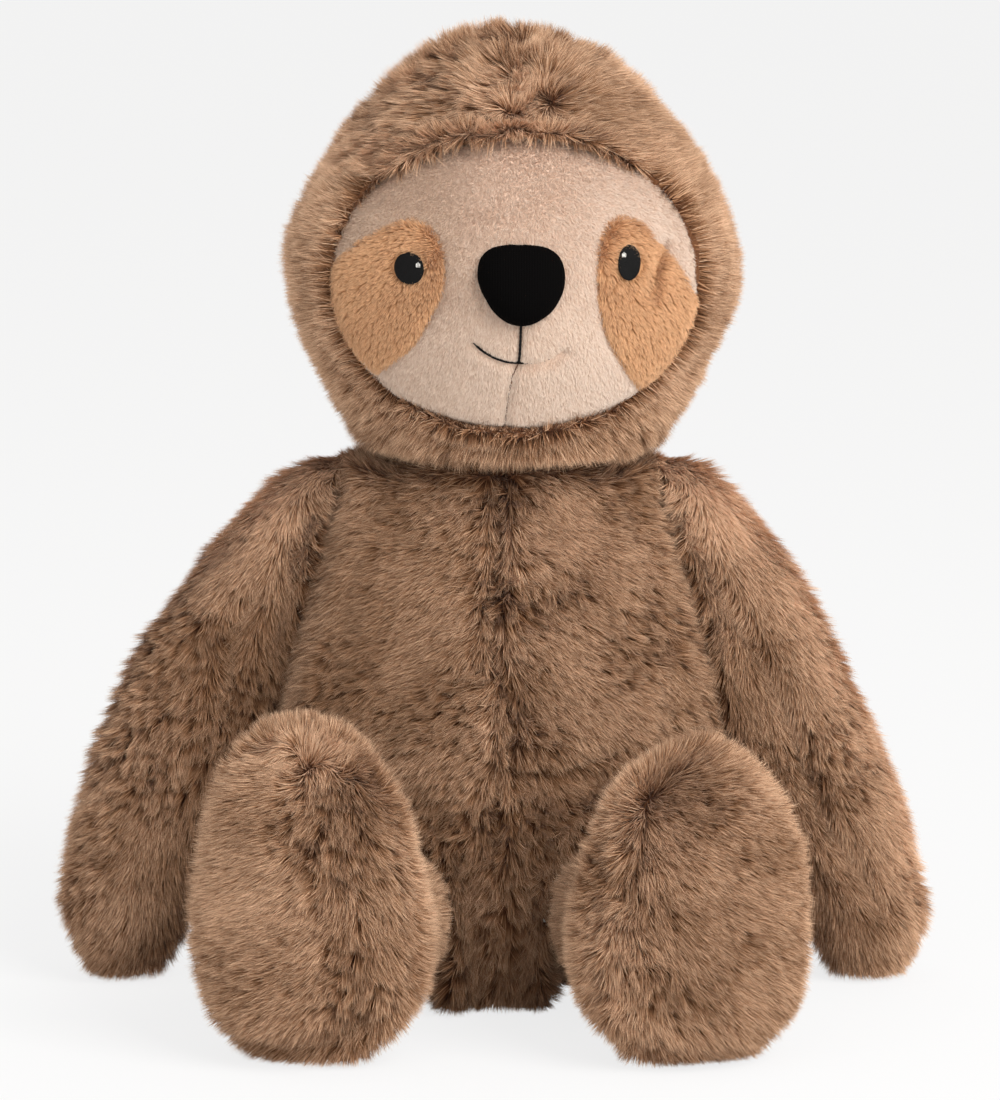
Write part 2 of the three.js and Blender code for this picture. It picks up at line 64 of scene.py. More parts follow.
NOISE_SEED = 3  # without a seed the slow noise starts from the clock, and no two runs agree
noise.seed_set(NOISE_SEED)
MM = 0.001
DEGREE = math.pi / 180
print("one millimetre is", MM, "metres, one degree is", round(DEGREE, 5), "radians")

# %% [markdown]
# ## Building node trees
#
# Materials and the fur generator are both node trees. Writing sums as Python expressions keeps
# them readable, so one class wraps a socket and turns `a * b + c` into the nodes that work it out.
# Every other node comes from one function that takes a type, its settings and its sockets.

# %% Sockets that take part in sums
VECTOR_KINDS = {"VECTOR", "RGBA"}


class Wire:
    """An output socket that can be added, subtracted and multiplied."""

    def __init__(self, tree, socket):
        self.tree = tree
        self.socket = socket

    def sum(self, operation, a, b=None):
        kinds = {x.socket.type for x in (a, b) if isinstance(x, Wire)}
        kind = "ShaderNodeVectorMath" if kinds & VECTOR_KINDS else "ShaderNodeMath"
        return add(self.tree, kind, {"operation": operation}, [x for x in (a, b) if x is not None])

    def __add__(self, other):
        return self.sum("ADD", self, other)

    def __radd__(self, other):
        return self.sum("ADD", other, self)

    def __sub__(self, other):
        return self.sum("SUBTRACT", self, other)

    def __rsub__(self, other):
        return self.sum("SUBTRACT", other, self)

    def __mul__(self, other):
        return self.sum("MULTIPLY", self, other)

    def __rmul__(self, other):
        return self.sum("MULTIPLY", other, self)


print("sums with", " or ".join(sorted(VECTOR_KINDS)), "sockets become Vector Math nodes")


# %% Every other node
def add(tree, kind, settings=None, inputs=(), output=0):
    """Adds one node: its settings first, then the values or links of its sockets."""
    node = tree.nodes.new(kind)
    for name, value in (settings or {}).items():
        if name == "stops":
            ramp = node.color_ramp
            ramp.elements.remove(ramp.elements[1])
            ramp.elements[0].position, ramp.elements[0].color = value[0]
            for place, colour in value[1:]:
                ramp.elements.new(place).color = colour
        else:
            setattr(node, name, value)
    pairs = inputs.items() if isinstance(inputs, dict) else enumerate(inputs)
    for key, value in pairs:
        socket = node.inputs[key]
        if isinstance(value, Wire):
            tree.links.new(value.socket, socket)
        elif socket.type == "VECTOR" and isinstance(value, (int, float)):
            socket.default_value = (value, value, value)
        else:
            socket.default_value = value
    return Wire(tree, node.outputs[output])


# %% Colours
def colour(red, green, blue):
    """A colour given as a picture gives it, 0 to 255, as Blender's linear light."""
    def linear(share):
        return share / 12.92 if share <= 0.04045 else ((share + 0.055) / 1.055) ** 2.4
    return tuple(linear(c / 255) for c in (red, green, blue)) + (1.0,)


print("half-bright grey as light:", round(colour(128, 128, 128)[0], 3))

# %% [markdown]
# ## Finishes
#
# Fur looks deep because each hair is dark at the root and pale at the tip, and because no two
# tufts have quite the same tone. Each blade of fur therefore carries two numbers in its UV map:
# across, the tone of its tuft, and up, how far along the hair a point is. The material only has to
# read them.
# That tone also carries painted light and painted shade, which the naps paint on the cloth.

# %% Materials for pile: fur, face plush and the caramel patches
BAKE_MAP = "OFBake"
ALONG_SHARE = 0.3  # of the UV map's height that a hair takes up


def shader(name, roughness, sheen=0.0, specular=0.3):
    """A new material with its Principled shader's even values set."""
    made = bpy.data.materials.new(name)
    made.use_nodes = True
    surface = made.node_tree.nodes["Principled BSDF"]
    surface.inputs["Roughness"].default_value = roughness
    surface.inputs["Specular IOR Level"].default_value = specular
    surface.inputs["Sheen Weight"].default_value = sheen
    surface.inputs["Sheen Roughness"].default_value = 0.5
    return made, made.node_tree, surface


def pile_material(name, stops, dark, pale, sheen):
    """Hair colours from root to tip, darkened or paled by the tuft's tone and by painted light and
    shade.
    """
    made, tree, surface = shader(name, roughness=0.75, sheen=sheen, specular=0.15)
    tone_and_along = add(tree, "ShaderNodeUVMap", {"uv_map": BAKE_MAP})
    tone = add(tree, "ShaderNodeSeparateXYZ", None, [tone_and_along], output="X")
    along = add(tree, "ShaderNodeSeparateXYZ", None, [tone_and_along], output="Y")
    hair = add(tree, "ShaderNodeValToRGB", {"stops": stops}, [along * (1 / ALONG_SHARE)])
    tuft = add(tree, "ShaderNodeValToRGB", {"stops": [(0, dark), (0.5, (1, 1, 1, 1)), (1, pale)]},
               [tone])
    factor, first, second, result = 0, 6, 7, 2  # the Mix node's sockets for colours
    mixed = add(tree, "ShaderNodeMix", {"data_type": "RGBA", "blend_type": "MULTIPLY"},
                {factor: 1.0, first: hair, second: tuft}, output=result)
    tree.links.new(mixed.socket, surface.inputs["Base Color"])
    return made


# The dark and pale ends of each ramp of tone serve the pile's own tone and also its painted light and
# painted shade.
BROWN_FUR = pile_material(
    "brown_fur",
    [(0, colour(74, 38, 17)), (0.35, colour(119, 79, 50)), (0.7, colour(167, 125, 92)),
     (1, colour(214, 179, 148))],
    dark=(0.62, 0.57, 0.52, 1), pale=(1.38, 1.42, 1.46, 1), sheen=0.1)
# The face's pale end is bluer and its dark end warmer, for its painted light on the toy's left and its
# painted shade under the hood's hair.
FACE_PLUSH = pile_material(
    "face_plush",
    [(0, colour(219, 189, 167)), (1, colour(244, 227, 210))],
    dark=(0.74, 0.67, 0.61, 1), pale=(1.0, 1.03, 1.07, 1), sheen=0.15)
PATCH_PLUSH = pile_material(
    "patch_plush",
    [(0, colour(168, 118, 78)), (0.5, colour(214, 163, 118)), (1, colour(244, 200, 157))],
    dark=(0.8, 0.78, 0.76, 1), pale=(1.1, 1.1, 1.1, 1), sheen=0.15)
print("pile materials:", BROWN_FUR.name, FACE_PLUSH.name, PATCH_PLUSH.name)

# %% [markdown]
# The nose is a fine black knit: upright ribs with rows of stitches across them. The eyes and the
# mouth are thread, which shines a little along its length. The filling and the weighted bag are
# inside, so they only need a plain fibre and a plain weave.


# %% Materials for knit, thread and filling
WAVE_LENGTH = 0.314  # of the wave texture's bands at a scale of 1, in metres


def relief(tree, surface, height, stops, distance):
    """Colours the surface by its height, darker low as painted shade, and lets the light see that
    height.
    """
    tint = add(tree, "ShaderNodeValToRGB", {"stops": stops}, [height])
    tree.links.new(tint.socket, surface.inputs["Base Color"])
    bumps = add(tree, "ShaderNodeBump", None, {"Distance": distance, "Height": height})
    tree.links.new(bumps.socket, surface.inputs["Normal"])


def object_place(tree):
    return add(tree, "ShaderNodeTexCoord", None, (), output="Object")


def waves(tree, place, direction, pitch, distortion):
    return add(tree, "ShaderNodeTexWave",
               {"wave_type": "BANDS", "bands_direction": direction, "wave_profile": "SIN"},
               {"Vector": place, "Scale": WAVE_LENGTH / pitch, "Distortion": distortion},
               output="Fac")


def knit_material(name, shade, pitch):
    """Upright ribs with rows of stitches across them; pitch is the width of a rib."""
    made, tree, surface = shader(name, roughness=1.0, specular=0.03)
    place = object_place(tree)
    ribs = waves(tree, place, "X", pitch, distortion=0.6)
    rows = waves(tree, place, "Z", pitch * 0.7, distortion=0.4)
    hollow_shade = colour(*[c * 0.7 for c in shade])
    relief(tree, surface, ribs * 0.7 + rows * 0.3, [(0, hollow_shade), (1, colour(*shade))], 0.12 * MM)
    return made


def thread_material(name, shade, pitch, roughness):
    """Fine grain as of twisted fibres; pitch is the size of a grain."""
    made, tree, surface = shader(name, roughness=roughness, specular=0.2)
    grain = add(tree, "ShaderNodeTexNoise", None, {"Vector": object_place(tree), "Scale": 1 / pitch})
    hollow_shade = colour(*[c * 0.6 for c in shade])
    relief(tree, surface, grain, [(0.3, hollow_shade), (0.7, colour(*shade))], 0.15 * MM)
    return made


BLACK_KNIT = knit_material("black_knit", (9, 8, 8), 0.9 * MM)
BLACK_THREAD = thread_material("black_thread", (14, 13, 13), 0.8 * MM, 0.8)
WHITE_THREAD = thread_material("white_thread", (240, 238, 232), 0.8 * MM, 0.45)
SEAM_THREAD = thread_material("seam_thread", (128, 96, 76), 0.8 * MM, 0.7)
FIBRE_FILL = thread_material("fibre_fill", (236, 233, 226), 3 * MM, 1.0)
BAG_CLOTH = knit_material("bag_cloth", (217, 210, 196), 0.6 * MM)
print("materials in all:", len(bpy.data.materials))

# %% [markdown]
# ## Smooth forms from the CAD solids
#
# The CAD covers have few faces, and their outside is where the tips of the fur end. A soft form
# under the fur is made from them in three steps: the solids of one body are merged, a voxel remesh
# turns them into one even skin, and every point then sinks by the depth of the pile. Seams are
# grooves, so they sink more. Where the toy rests on the floor or is sewn to the next body the pile
# is pressed flat, so there the form sinks less.

# %% Objects and arrays
def linked(name, data):
    """A new object in the scene that shows the data."""
    made = bpy.data.objects.new(name, data)
    bpy.context.scene.collection.objects.link(made)
    return made


def new_object(name, form, *materials):
    """An object from a bmesh, which is freed."""
    mesh = bpy.data.meshes.new(name)
    form.to_mesh(mesh)
    form.free()
    for material in materials:
        mesh.materials.append(material)
    return linked(name, mesh)


def worked_mesh(made):
    """A new mesh of the object as its curve or its modifiers shape it."""
    graph = bpy.context.evaluated_depsgraph_get()
    return bpy.data.meshes.new_from_object(made.evaluated_get(graph))


def applied(made):
    """The object with its modifiers worked into its mesh."""
    mesh = worked_mesh(made)
    before = made.data
    made.modifiers.clear()
    made.data = mesh
    bpy.data.meshes.remove(before)
    mesh.name = made.name
    return made


def softened(made, times):
    """The object with each point drawn halfway to its neighbours' middle, a number of times."""
    smooth = made.modifiers.new("soften", "SMOOTH")
    smooth.factor, smooth.iterations = 0.5, times
    return applied(made)


def thickened(made, wall):
    """The sheet with a wall that grows inwards from it, in millimetres."""
    solid = made.modifiers.new("wall", "SOLIDIFY")
    solid.thickness, solid.offset, solid.use_even_offset = wall * MM, -1, False
    return applied(made)


def smooth_faces(made):
    made.data.polygons.foreach_set("use_smooth", [True] * len(made.data.polygons))
    return made


# %% Arrays of points
def points_of(mesh):
    """Places in millimetres and normals of a mesh's points."""
    place = np.empty(len(mesh.vertices) * 3, np.float32)
    normal = np.empty(len(mesh.vertices) * 3, np.float32)
    mesh.vertices.foreach_get("co", place)
    mesh.vertex_normals.foreach_get("vector", normal)
    return place.reshape(-1, 3).astype(float) / MM, normal.reshape(-1, 3).astype(float)


def move_points(mesh, place):
    mesh.vertices.foreach_set("co", (place * MM).astype(np.float32).ravel())
    mesh.update()


def bump(distance, width):
    """1 on a line or plane, falling to 0 a few widths away."""
    return np.exp(-(distance / width) ** 2)


def ramp(value, low, high):
    """0 below low, 1 above high, smooth between."""
    share = np.clip((value - low) / (high - low), 0, 1)
    return share * share * (3 - 2 * share)


def drift(place, size, seed):
    """Slow three-way noise, -1 to 1, at each place; size is its grain in millimetres."""
    shift = Vector((seed * 17.3, seed * -9.1, seed * 5.7))
    return np.array([noise.noise_vector(Vector(p) / size + shift) for p in place])


def vectors(x, y, z):
    """Rows of three from columns or single numbers."""
    return np.stack(np.broadcast_arrays(x, y, z), axis=1).astype(float)


def blend(first, second, share):
    """Rows that go from the first to the second as the share goes from 0 to 1."""
    share = share[:, None]
    return first * (1 - share) + second * share


print("1 mm from a line 2 mm wide a bump is still", round(float(bump(1, 2)), 2))
print("halfway up a ramp is", float(ramp(0.5, 0, 1)))

# %% One smooth skin for each body
VOXEL = 3.0  # millimetres
PILE_DEPTH, HEAD_PILE_DEPTH = 6.0, 7.2
FLOOR_GAP = 0.3  # millimetres between the floor and all that rests on it


def kept_off_floor(made):
    """Lifts the points that would sink into the floor."""
    place = points_of(made.data)[0]
    place[:, 2] = np.maximum(place[:, 2], FLOOR_GAP)
    move_points(made.data, place)


def skin(name, nodes, sunk, voxel=VOXEL):
    """A closed form under the nodes' outside. sunk gives how far in each point moves."""
    form = bmesh.new()
    for node in nodes:
        form.from_mesh(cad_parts[node].data)
    bmesh.ops.remove_doubles(form, verts=form.verts, dist=0.01 * MM)
    made = new_object(name, form)
    remesh = made.modifiers.new("even skin", "REMESH")
    remesh.mode = "VOXEL"
    remesh.voxel_size = voxel * MM
    softened(made, 10)
    place, normal = points_of(made.data)
    swell = drift(place, 26, 1)[:, 0] * 1.6 + drift(place, 13, 2)[:, 0] * 0.7
    move_points(made.data, place - sunk(place, normal) + normal * swell[:, None])
    softened(made, 3)
    kept_off_floor(made)
    print(name, len(made.data.vertices), "points")
    return made


# %% Where the pile is pressed flat
def pressed(place, planes):
    """1 where the pile is pressed on a round of a plane, given as a point, a normal and a radius."""
    most = np.zeros(len(place))
    for point, direction, radius in planes:
        away = place - np.array(point)
        off = away @ np.array(direction)
        out = np.sqrt(np.maximum((away ** 2).sum(1) - off ** 2, 0))
        most = np.maximum(most, bump(off, 4) * ramp(-out, -radius, 6 - radius))
    return most


FLOOR = ((0, 0, 0), (0, 0, -1), 500)
TORSO_TOP = ((0, 0, 194.6), (0, 0, 1), 42)
HEAD_BASE = ((0, 0, 196.4), (0, 0, -1), 42)


def shoulder_plane(side):
    """The round where an arm is sewn on: turned back by 8 degrees and tilted up by 15.6."""
    turn, tilt = 8 * DEGREE, 15.6 * DEGREE
    outwards = (side * math.cos(turn) * math.cos(tilt), math.sin(turn) * math.cos(tilt),
                math.sin(tilt))
    return (side * 61, 0, 169), outwards, 20


TORSO_PRESSED = [FLOOR, TORSO_TOP, shoulder_plane(1), shoulder_plane(-1)]


def past_shoulder(side, place):
    """How far each place lies outwards of the round where the arm is sewn on."""
    point, outwards, _ = shoulder_plane(side)
    return (place - np.array(point)) @ np.array(outwards)


print("the torso is pressed on", len(TORSO_PRESSED), "rounds")


# %% [markdown]
# The seams that show are the upright one down the middle of the chest and belly, the short one
# across the belly between the legs, the one over the crown, and the ones round the soles. The face
# has its own frame, turned two degrees to the toy's left, so a helper moves points into it.

# %% The frames of the legs and the face
def standing(point, degrees):
    """A frame at a point in millimetres, turned about the upright."""
    return Matrix.Translation(point) @ Matrix.Rotation(degrees * DEGREE, 4, "Z")


LEG_FRAME = {side: standing((side * 44, -34, 38), side * 15) for side in (-1, 1)}
SOLE_SEAM = -90.0  # along Y in the leg's frame
HEAD_FRAME = standing((1.5, -2, 196.4), 2)
FACE_SIDE, FACE_MIDDLE = 2.5, 64.4  # the face's middle in the head's frame, across and up
FACE_HALF_WIDTH, FACE_HALF_HEIGHT = 64.5, 51.2


# %% Into those frames and out of them
def into(matrix, place):
    """Places in the frame that the matrix stands for."""
    back = np.array(matrix.inverted())
    return place @ back[:3, :3].T + back[:3, 3]


def out_of(matrix, place):
    forth = np.array(matrix)
    return place @ forth[:3, :3].T + forth[:3, 3]


def turned(matrix, direction):
    return direction @ np.array(matrix)[:3, :3].T


def on_face(place):
    """Across and above the face's middle, the share of the way to its rim, and the depth."""
    local = into(HEAD_FRAME, place)
    across, rise = local[:, 0] - FACE_SIDE, local[:, 2] - FACE_MIDDLE
    share = np.hypot(across / FACE_HALF_WIDTH, rise / FACE_HALF_HEIGHT)
    return across, rise, share, local[:, 1]


def in_front(depth):
    """1 on the front of the head, 0 behind its widest part."""
    return ramp(-depth, 0, 15)


def from_line(across, rise, line):
    """Distance of each place on a flat from a line of points."""
    nearest = np.full(np.shape(across), np.inf)
    for (ax, ay), (bx, by) in zip(line, line[1:]):
        long = (bx - ax) ** 2 + (by - ay) ** 2
        share = np.clip(((across - ax) * (bx - ax) + (rise - ay) * (by - ay)) / long, 0, 1)
        nearest = np.minimum(nearest, np.hypot(across - ax - share * (bx - ax),
                                               rise - ay - share * (by - ay)))
    return nearest


face_middle = out_of(HEAD_FRAME, np.array([[FACE_SIDE, 0, FACE_MIDDLE]]))[0]
print("the face's middle in millimetres:", face_middle.round(1))

# %% The seams of the torso, as places across and above the floor
CHEST_SEAM = [(1, 198), (-0.7, 168), (-3.2, 147), (-1.7, 128), (3, 121), (4.5, 108), (2, 92)]
BELLY_CREASE = [(2, 92), (14, 90.5), (26, 92.5), (38, 96)]
LOW_SEAM = [(-1.3, 86), (-1.5, 72), (-1.7, 60)]
print("the chest seam ends", CHEST_SEAM[-1][1], "mm above the floor, the low seam", LOW_SEAM[-1][1])


def torso_seams(place, width):
    """1 in the middle of each seam that shows on the front, falling to 0 a few widths away."""
    x, y, z = place.T
    nearest = np.minimum(from_line(x, z, CHEST_SEAM), from_line(x, z, LOW_SEAM))
    return bump(np.minimum(nearest, from_line(x, z, BELLY_CREASE)), width) * ramp(-y, 0, 25)


def beside_leg(place):
    """1 where the torso lies close against a leg."""
    most = np.zeros(len(place))
    for side in (-1, 1):
        x, y, z = into(LEG_FRAME[side], place).T
        close = ramp(-np.hypot(x, z), -37, -31) * ramp(-y, -14, -4)
        most = np.maximum(most, close)
    return most


# %% Where the torso and the head sink
PRESSED_FLAT = 0.75  # of the pile's depth that is left out where the pile is pressed
MUZZLE_WARD = np.array([0, -1.0, 0])  # out of the face
print("pressed pile sinks the cloth by", PILE_DEPTH * (1 - PRESSED_FLAT), "mm")


def torso_sunk(place, normal):
    """Less under the arms and beside the legs, more in the seams and below the belly's crease."""
    x, y, z = place.T
    under_arm = ramp(np.abs(normal[:, 0]), 0.45, 0.8) * ramp(z, 50, 80)
    corner = ramp(np.abs(x), 34, 52) * ramp(z, 176, 190) * 3
    meets = np.maximum(0.75 * under_arm, 1.5 * beside_leg(place))
    below_crease = ramp(-z, -93, -87) * ramp(z, 62, 86) * ramp(x, -4, 10)
    below_crease = below_crease * ramp(-x, -52, -36) * ramp(-y, 0, 25)
    low_side = ramp(-z, -28, -12) * ramp(-y, 20, 45) * ramp(np.abs(normal[:, 0]), 0.2, 0.6)
    flat = pressed(place, TORSO_PRESSED)
    depth = PILE_DEPTH * (1 - np.maximum(PRESSED_FLAT * flat, meets))
    depth = depth + 4 * torso_seams(place, 2.6)
    depth -= (6 + 5 * ramp(-x, 4, 14)) * low_side
    return normal * (depth + 6 * below_crease - corner)[:, None]


def faces_middle(across, rise, normal):
    """1 on the inner wall of the hood's rim, whose cloth faces the middle of the face."""
    out = vectors(across, 0, rise)
    out /= np.maximum(np.linalg.norm(out, axis=1, keepdims=True), 1)
    return ramp(-(normal * out).sum(1), 0.15, 0.6)


def head_sunk(place, normal):
    """Little on the hood's rim, and 14 mm back where the face panel lies over it."""
    flat = pressed(place, [HEAD_BASE])
    across, rise, share, depth = on_face(place)
    front = in_front(depth)
    wall = faces_middle(across, rise, normal) * front
    under_face = ramp(-share, -1.0, -0.92) * front * 14
    inwards = normal * (HEAD_PILE_DEPTH * (1 - PRESSED_FLAT * flat) * (1 - 0.9 * wall))[:, None]
    return inwards + MUZZLE_WARD * under_face[:, None]


# %% Where the arms sink; their long folds are given as places across and above the floor
ARM_FOLDS = {
    1: [(73, 155), (87, 133), (101, 106), (114, 67), (138, 30)],
    -1: [(-86, 146), (-94, 134), (-97, 118), (-97, 104)],
}
print("the left arm's fold reaches down to", ARM_FOLDS[1][-1][1], "mm, the right's to",
      ARM_FOLDS[-1][-1][1])


def arm_fold(side, place):
    x, y, z = place.T
    return bump(from_line(x, z, ARM_FOLDS[side]), 4) * ramp(-y, 0, 15)


def arm_sunk(side):
    """Little against the torso, a rounded top at the shoulder, and deeper in the fold."""
    def sunk(place, normal):
        flat = pressed(place, [FLOOR, shoulder_plane(side)])
        near = ramp(-past_shoulder(side, place), -38, -6)
        inward = ramp(-side * normal[:, 0], 0.35, 0.75) * ramp(place[:, 2], 50, 80)
        top = near * ramp(normal[:, 2], 0.1, 0.6) * 5
        depth = PILE_DEPTH * (1 - np.maximum(PRESSED_FLAT * flat, 0.85 * inward)) - top
        return normal * (depth + 3.5 * arm_fold(side, place))[:, None]
    return sunk


# %% Where the legs sink; the lower edge of a sole is given as across and up in the leg's frame
SOLE_CREASE = {
    -1: [(-43, -12), (-36, -20), (-27, -25.5), (-14, -29), (0, -29.5), (12, -27), (20, -22),
         (23, -14)],
    1: [(-26, -27), (-14, -32), (0, -33.5), (16, -32), (28, -27)],
}
print("the soles' lower edges lie", [min(z for _, z in line) for line in SOLE_CREASE.values()])


def sole_crease(side, place):
    """1 along the sole panel's lower edge, and 1 on all that shows below it."""
    x, y, z = into(LEG_FRAME[side], place).T
    line = SOLE_CREASE[side]
    front = ramp(-y, 84, 96)
    edge = np.interp(x, *zip(*line))
    return bump(from_line(x, z, line), 2.6) * front, ramp(edge - z, 0, 3) * front * (z < 0)


def leg_sunk(side):
    """Deeper in the seam round the sole and below its lower edge, little on the inner side."""
    under_edge = 6 if side < 0 else 1

    def sunk(place, normal):
        x, y, z = into(LEG_FRAME[side], place).T
        crease, below = sole_crease(side, place)
        seam = np.maximum(bump(y - SOLE_SEAM, 3) * 3, 5 * crease + under_edge * below)
        inward = ramp(-side * x, 12, 22) * ramp(y, -84, -70) * ramp(-np.abs(z), -26, -14)
        flat = pressed(place, [FLOOR])
        depth = PILE_DEPTH * (1 - np.maximum(PRESSED_FLAT * flat, 0.7 * inward)) + seam
        return normal * depth[:, None]
    return sunk


# %% The skins
SIDES = {"left": 1, "right": -1}
TORSO_PANELS = [f"torso_{part}_{side}" for part in ("front", "lower", "back") for side in SIDES]
BODIES = {
    "torso": ([*TORSO_PANELS, "seat_panel", "torso_stuffing", "bean_pouch"], torso_sunk),
    "head": (["hood_left", "hood_right", "face_panel", "head_stuffing"], head_sunk),
}
for side_name, side in SIDES.items():
    BODIES[f"arm_{side_name}"] = (
        [f"arm_{part}_{side_name}" for part in ("outer", "inner", "stuffing")], arm_sunk(side))
    BODIES[f"leg_{side_name}"] = (
        [f"leg_cover_{side_name}", f"sole_panel_{side_name}", f"leg_stuffing_{side_name}"],
        leg_sunk(side))
SKINS = {body: skin(f"{body}_form", nodes, sunk) for body, (nodes, sunk) in BODIES.items()}

# %% [markdown]
# ## Growing the pile
#
# Hair could be drawn with Blender's hair curves, but those leave nothing behind when a model is
# exported. Here every hair is a small flat blade of one triangle, broad at the root and pointed at
# the tip. A geometry node tree scatters roots over the cloth, scatters a few tuft centres as well,
# and leans each blade along the nap, towards the tip of its nearest tuft. That gathering is what
# makes fur look like fur and not like grass. The tree reads five values that are painted on the
# cloth: comb, which is the nap's direction and lean, pile, which is its length, ruffle, which is
# how much the tufts differ, thick, which is the share of the full number of hairs, and shade, which
# makes the hair paler or darker. Shade is partly the fur's own darker patches and partly painted
# light and painted shade.


# %% One blade of hair
def blade(name):
    """A flat blade one unit long and wide, standing on the origin. Its points know their height."""
    strip = bmesh.new()
    bmesh.ops.create_grid(strip, x_segments=1, y_segments=1, size=0.5)
    turn = Matrix.Rotation(math.pi, 3, "Z") @ Matrix.Rotation(math.pi / 2, 3, "X")
    along = strip.verts.layers.float.new("along")
    for vert in strip.verts:
        vert.co = turn @ vert.co
        vert.co.z += 0.5
        vert[along] = vert.co.z
    tip = [v for v in strip.verts if v.co.z > 0.5]
    bmesh.ops.pointmerge(strip, verts=tip, merge_co=Vector((0, 0, 1)))
    made = new_object(name, strip)
    made.hide_render = True
    return made


BLADE = blade("hair_blade")
print("one blade has", len(BLADE.data.polygons), "face")


# %% The tree that grows pile on a piece of cloth
PILE_INPUTS = {
    "Strands": "Float", "Tufts": "Float", "Seed": "Int", "Width": "Float", "Spread": "Float",
    "Sway": "Float", "Gather": "Float", "Speckle": "Float", "Patchy": "Float", "Blade": "Object",
}
# shade is partly the fur's own tone and partly painted light and painted shade
PAINTED = {"comb": "FLOAT_VECTOR", "pile": "FLOAT", "ruffle": "FLOAT", "thick": "FLOAT",
           "shade": "FLOAT"}


def grow_tree():
    tree = bpy.data.node_groups.new("grow_pile", "GeometryNodeTree")
    face = tree.interface
    face.new_socket(name="Cloth", in_out="INPUT", socket_type="NodeSocketGeometry")
    for name, kind in PILE_INPUTS.items():
        face.new_socket(name=name, in_out="INPUT", socket_type="NodeSocket" + kind)
    face.new_socket(name="Pile", in_out="OUTPUT", socket_type="NodeSocketGeometry")
    start = tree.nodes.new("NodeGroupInput")
    given = {socket.name: Wire(tree, socket) for socket in start.outputs if socket.name}

    def chance(low, high, seed, kind="FLOAT"):
        """A random number or vector for each point; the node's sockets differ by their kind."""
        first, output = (0, 0) if kind == "FLOAT_VECTOR" else (2, 1)
        return add(tree, "FunctionNodeRandomValue", {"data_type": kind},
                   {first: low, first + 1: high, "Seed": seed}, output=output)

    place = add(tree, "GeometryNodeInputPosition")
    comb, length, ruffle, thick, shade = (
        add(tree, "GeometryNodeInputNamedAttribute", {"data_type": kind}, {"Name": name})
        for name, kind in PAINTED.items())

    roots = tree.nodes.new("GeometryNodeDistributePointsOnFaces")
    tufts = tree.nodes.new("GeometryNodeDistributePointsOnFaces")
    for node, density, seed in ((roots, given["Strands"] * thick, given["Seed"]),
                                (tufts, given["Tufts"], given["Seed"] + 1)):
        tree.links.new(given["Cloth"].socket, node.inputs["Mesh"])
        tree.links.new(density.socket, node.inputs["Density"])
        tree.links.new(seed.socket, node.inputs["Seed"])
    normal = Wire(tree, roots.outputs["Normal"])
    tuft_points = Wire(tree, tufts.outputs["Points"])

    nearest = add(tree, "GeometryNodeSampleNearest", {"domain": "POINT"}, [tuft_points])

    def from_tuft(value, kind):
        return add(tree, "GeometryNodeSampleIndex", {"data_type": kind, "domain": "POINT"},
                   {"Geometry": tuft_points, "Value": value, "Index": nearest})

    tuft_place = from_tuft(place, "FLOAT_VECTOR")
    tuft_sway = from_tuft(chance((-1, -1, -1), (1, 1, 1), 11, "FLOAT_VECTOR"), "FLOAT_VECTOR")
    tuft_tone = from_tuft(chance(0, 1, 12), "FLOAT")

    def unit(vector):
        return add(tree, "ShaderNodeVectorMath", {"operation": "NORMALIZE"}, [vector])

    nap = normal + comb + tuft_sway * (ruffle * given["Sway"])
    own = chance((-1, -1, -1), (1, 1, 1), 21, "FLOAT_VECTOR") * given["Spread"]
    tall = length * (chance(0.8, 1.06, 22) + (tuft_tone - 0.5) * ruffle * 0.3)
    loose = place + unit(nap + own) * tall
    gathered = tuft_place + unit(nap) * tall
    tip = loose + (gathered - loose) * (given["Gather"] * (ruffle * 0.7 + 0.3))
    lean = tip - place
    size = add(tree, "ShaderNodeVectorMath", {"operation": "LENGTH"}, [lean], output="Value")
    upright = add(tree, "FunctionNodeAlignRotationToVector", {"axis": "Z"}, {"Vector": lean})
    twist = normal + chance((-1, -1, -1), (1, 1, 1), 23, "FLOAT_VECTOR") * 0.45
    facing = add(tree, "FunctionNodeAlignRotationToVector", {"axis": "Y", "pivot_axis": "Z"},
                 {"Rotation": upright, "Vector": twist})
    broad = given["Width"] * chance(0.7, 1.25, 24)
    scale = add(tree, "ShaderNodeCombineXYZ", None, [broad, size, size])

    patches = add(tree, "ShaderNodeTexNoise", None, {"Vector": place, "Scale": 40.0, "Detail": 3.0})
    # tone: the tuft's and the hair's own random tone and soft patches, plus the painted shade value,
    # which holds painted light and painted shade
    tone = ((tuft_tone - 0.5) * ruffle * 0.6 + (chance(0, 1, 25) - 0.5) * given["Speckle"]
            + (patches - 0.5) * given["Patchy"] + 0.5 + shade)
    toned = add(tree, "GeometryNodeStoreNamedAttribute", {"data_type": "FLOAT", "domain": "POINT"},
                {"Geometry": Wire(tree, roots.outputs["Points"]), "Name": "tone", "Value": tone})
    hair = add(tree, "GeometryNodeObjectInfo", None, {"Object": given["Blade"]}, output="Geometry")
    blades = add(tree, "GeometryNodeInstanceOnPoints", None,
                 {"Points": toned, "Instance": hair, "Rotation": facing, "Scale": scale})
    real = add(tree, "GeometryNodeRealizeInstances", None, {"Geometry": blades})
    end = tree.nodes.new("NodeGroupOutput")
    tree.links.new(real.socket, end.inputs["Pile"])
    return tree


GROW = grow_tree()
SOCKETS = {item.name: item.identifier for item in GROW.interface.items_tree
           if item.in_out == "INPUT"}
print("the tree that grows pile has", len(GROW.nodes), "nodes")


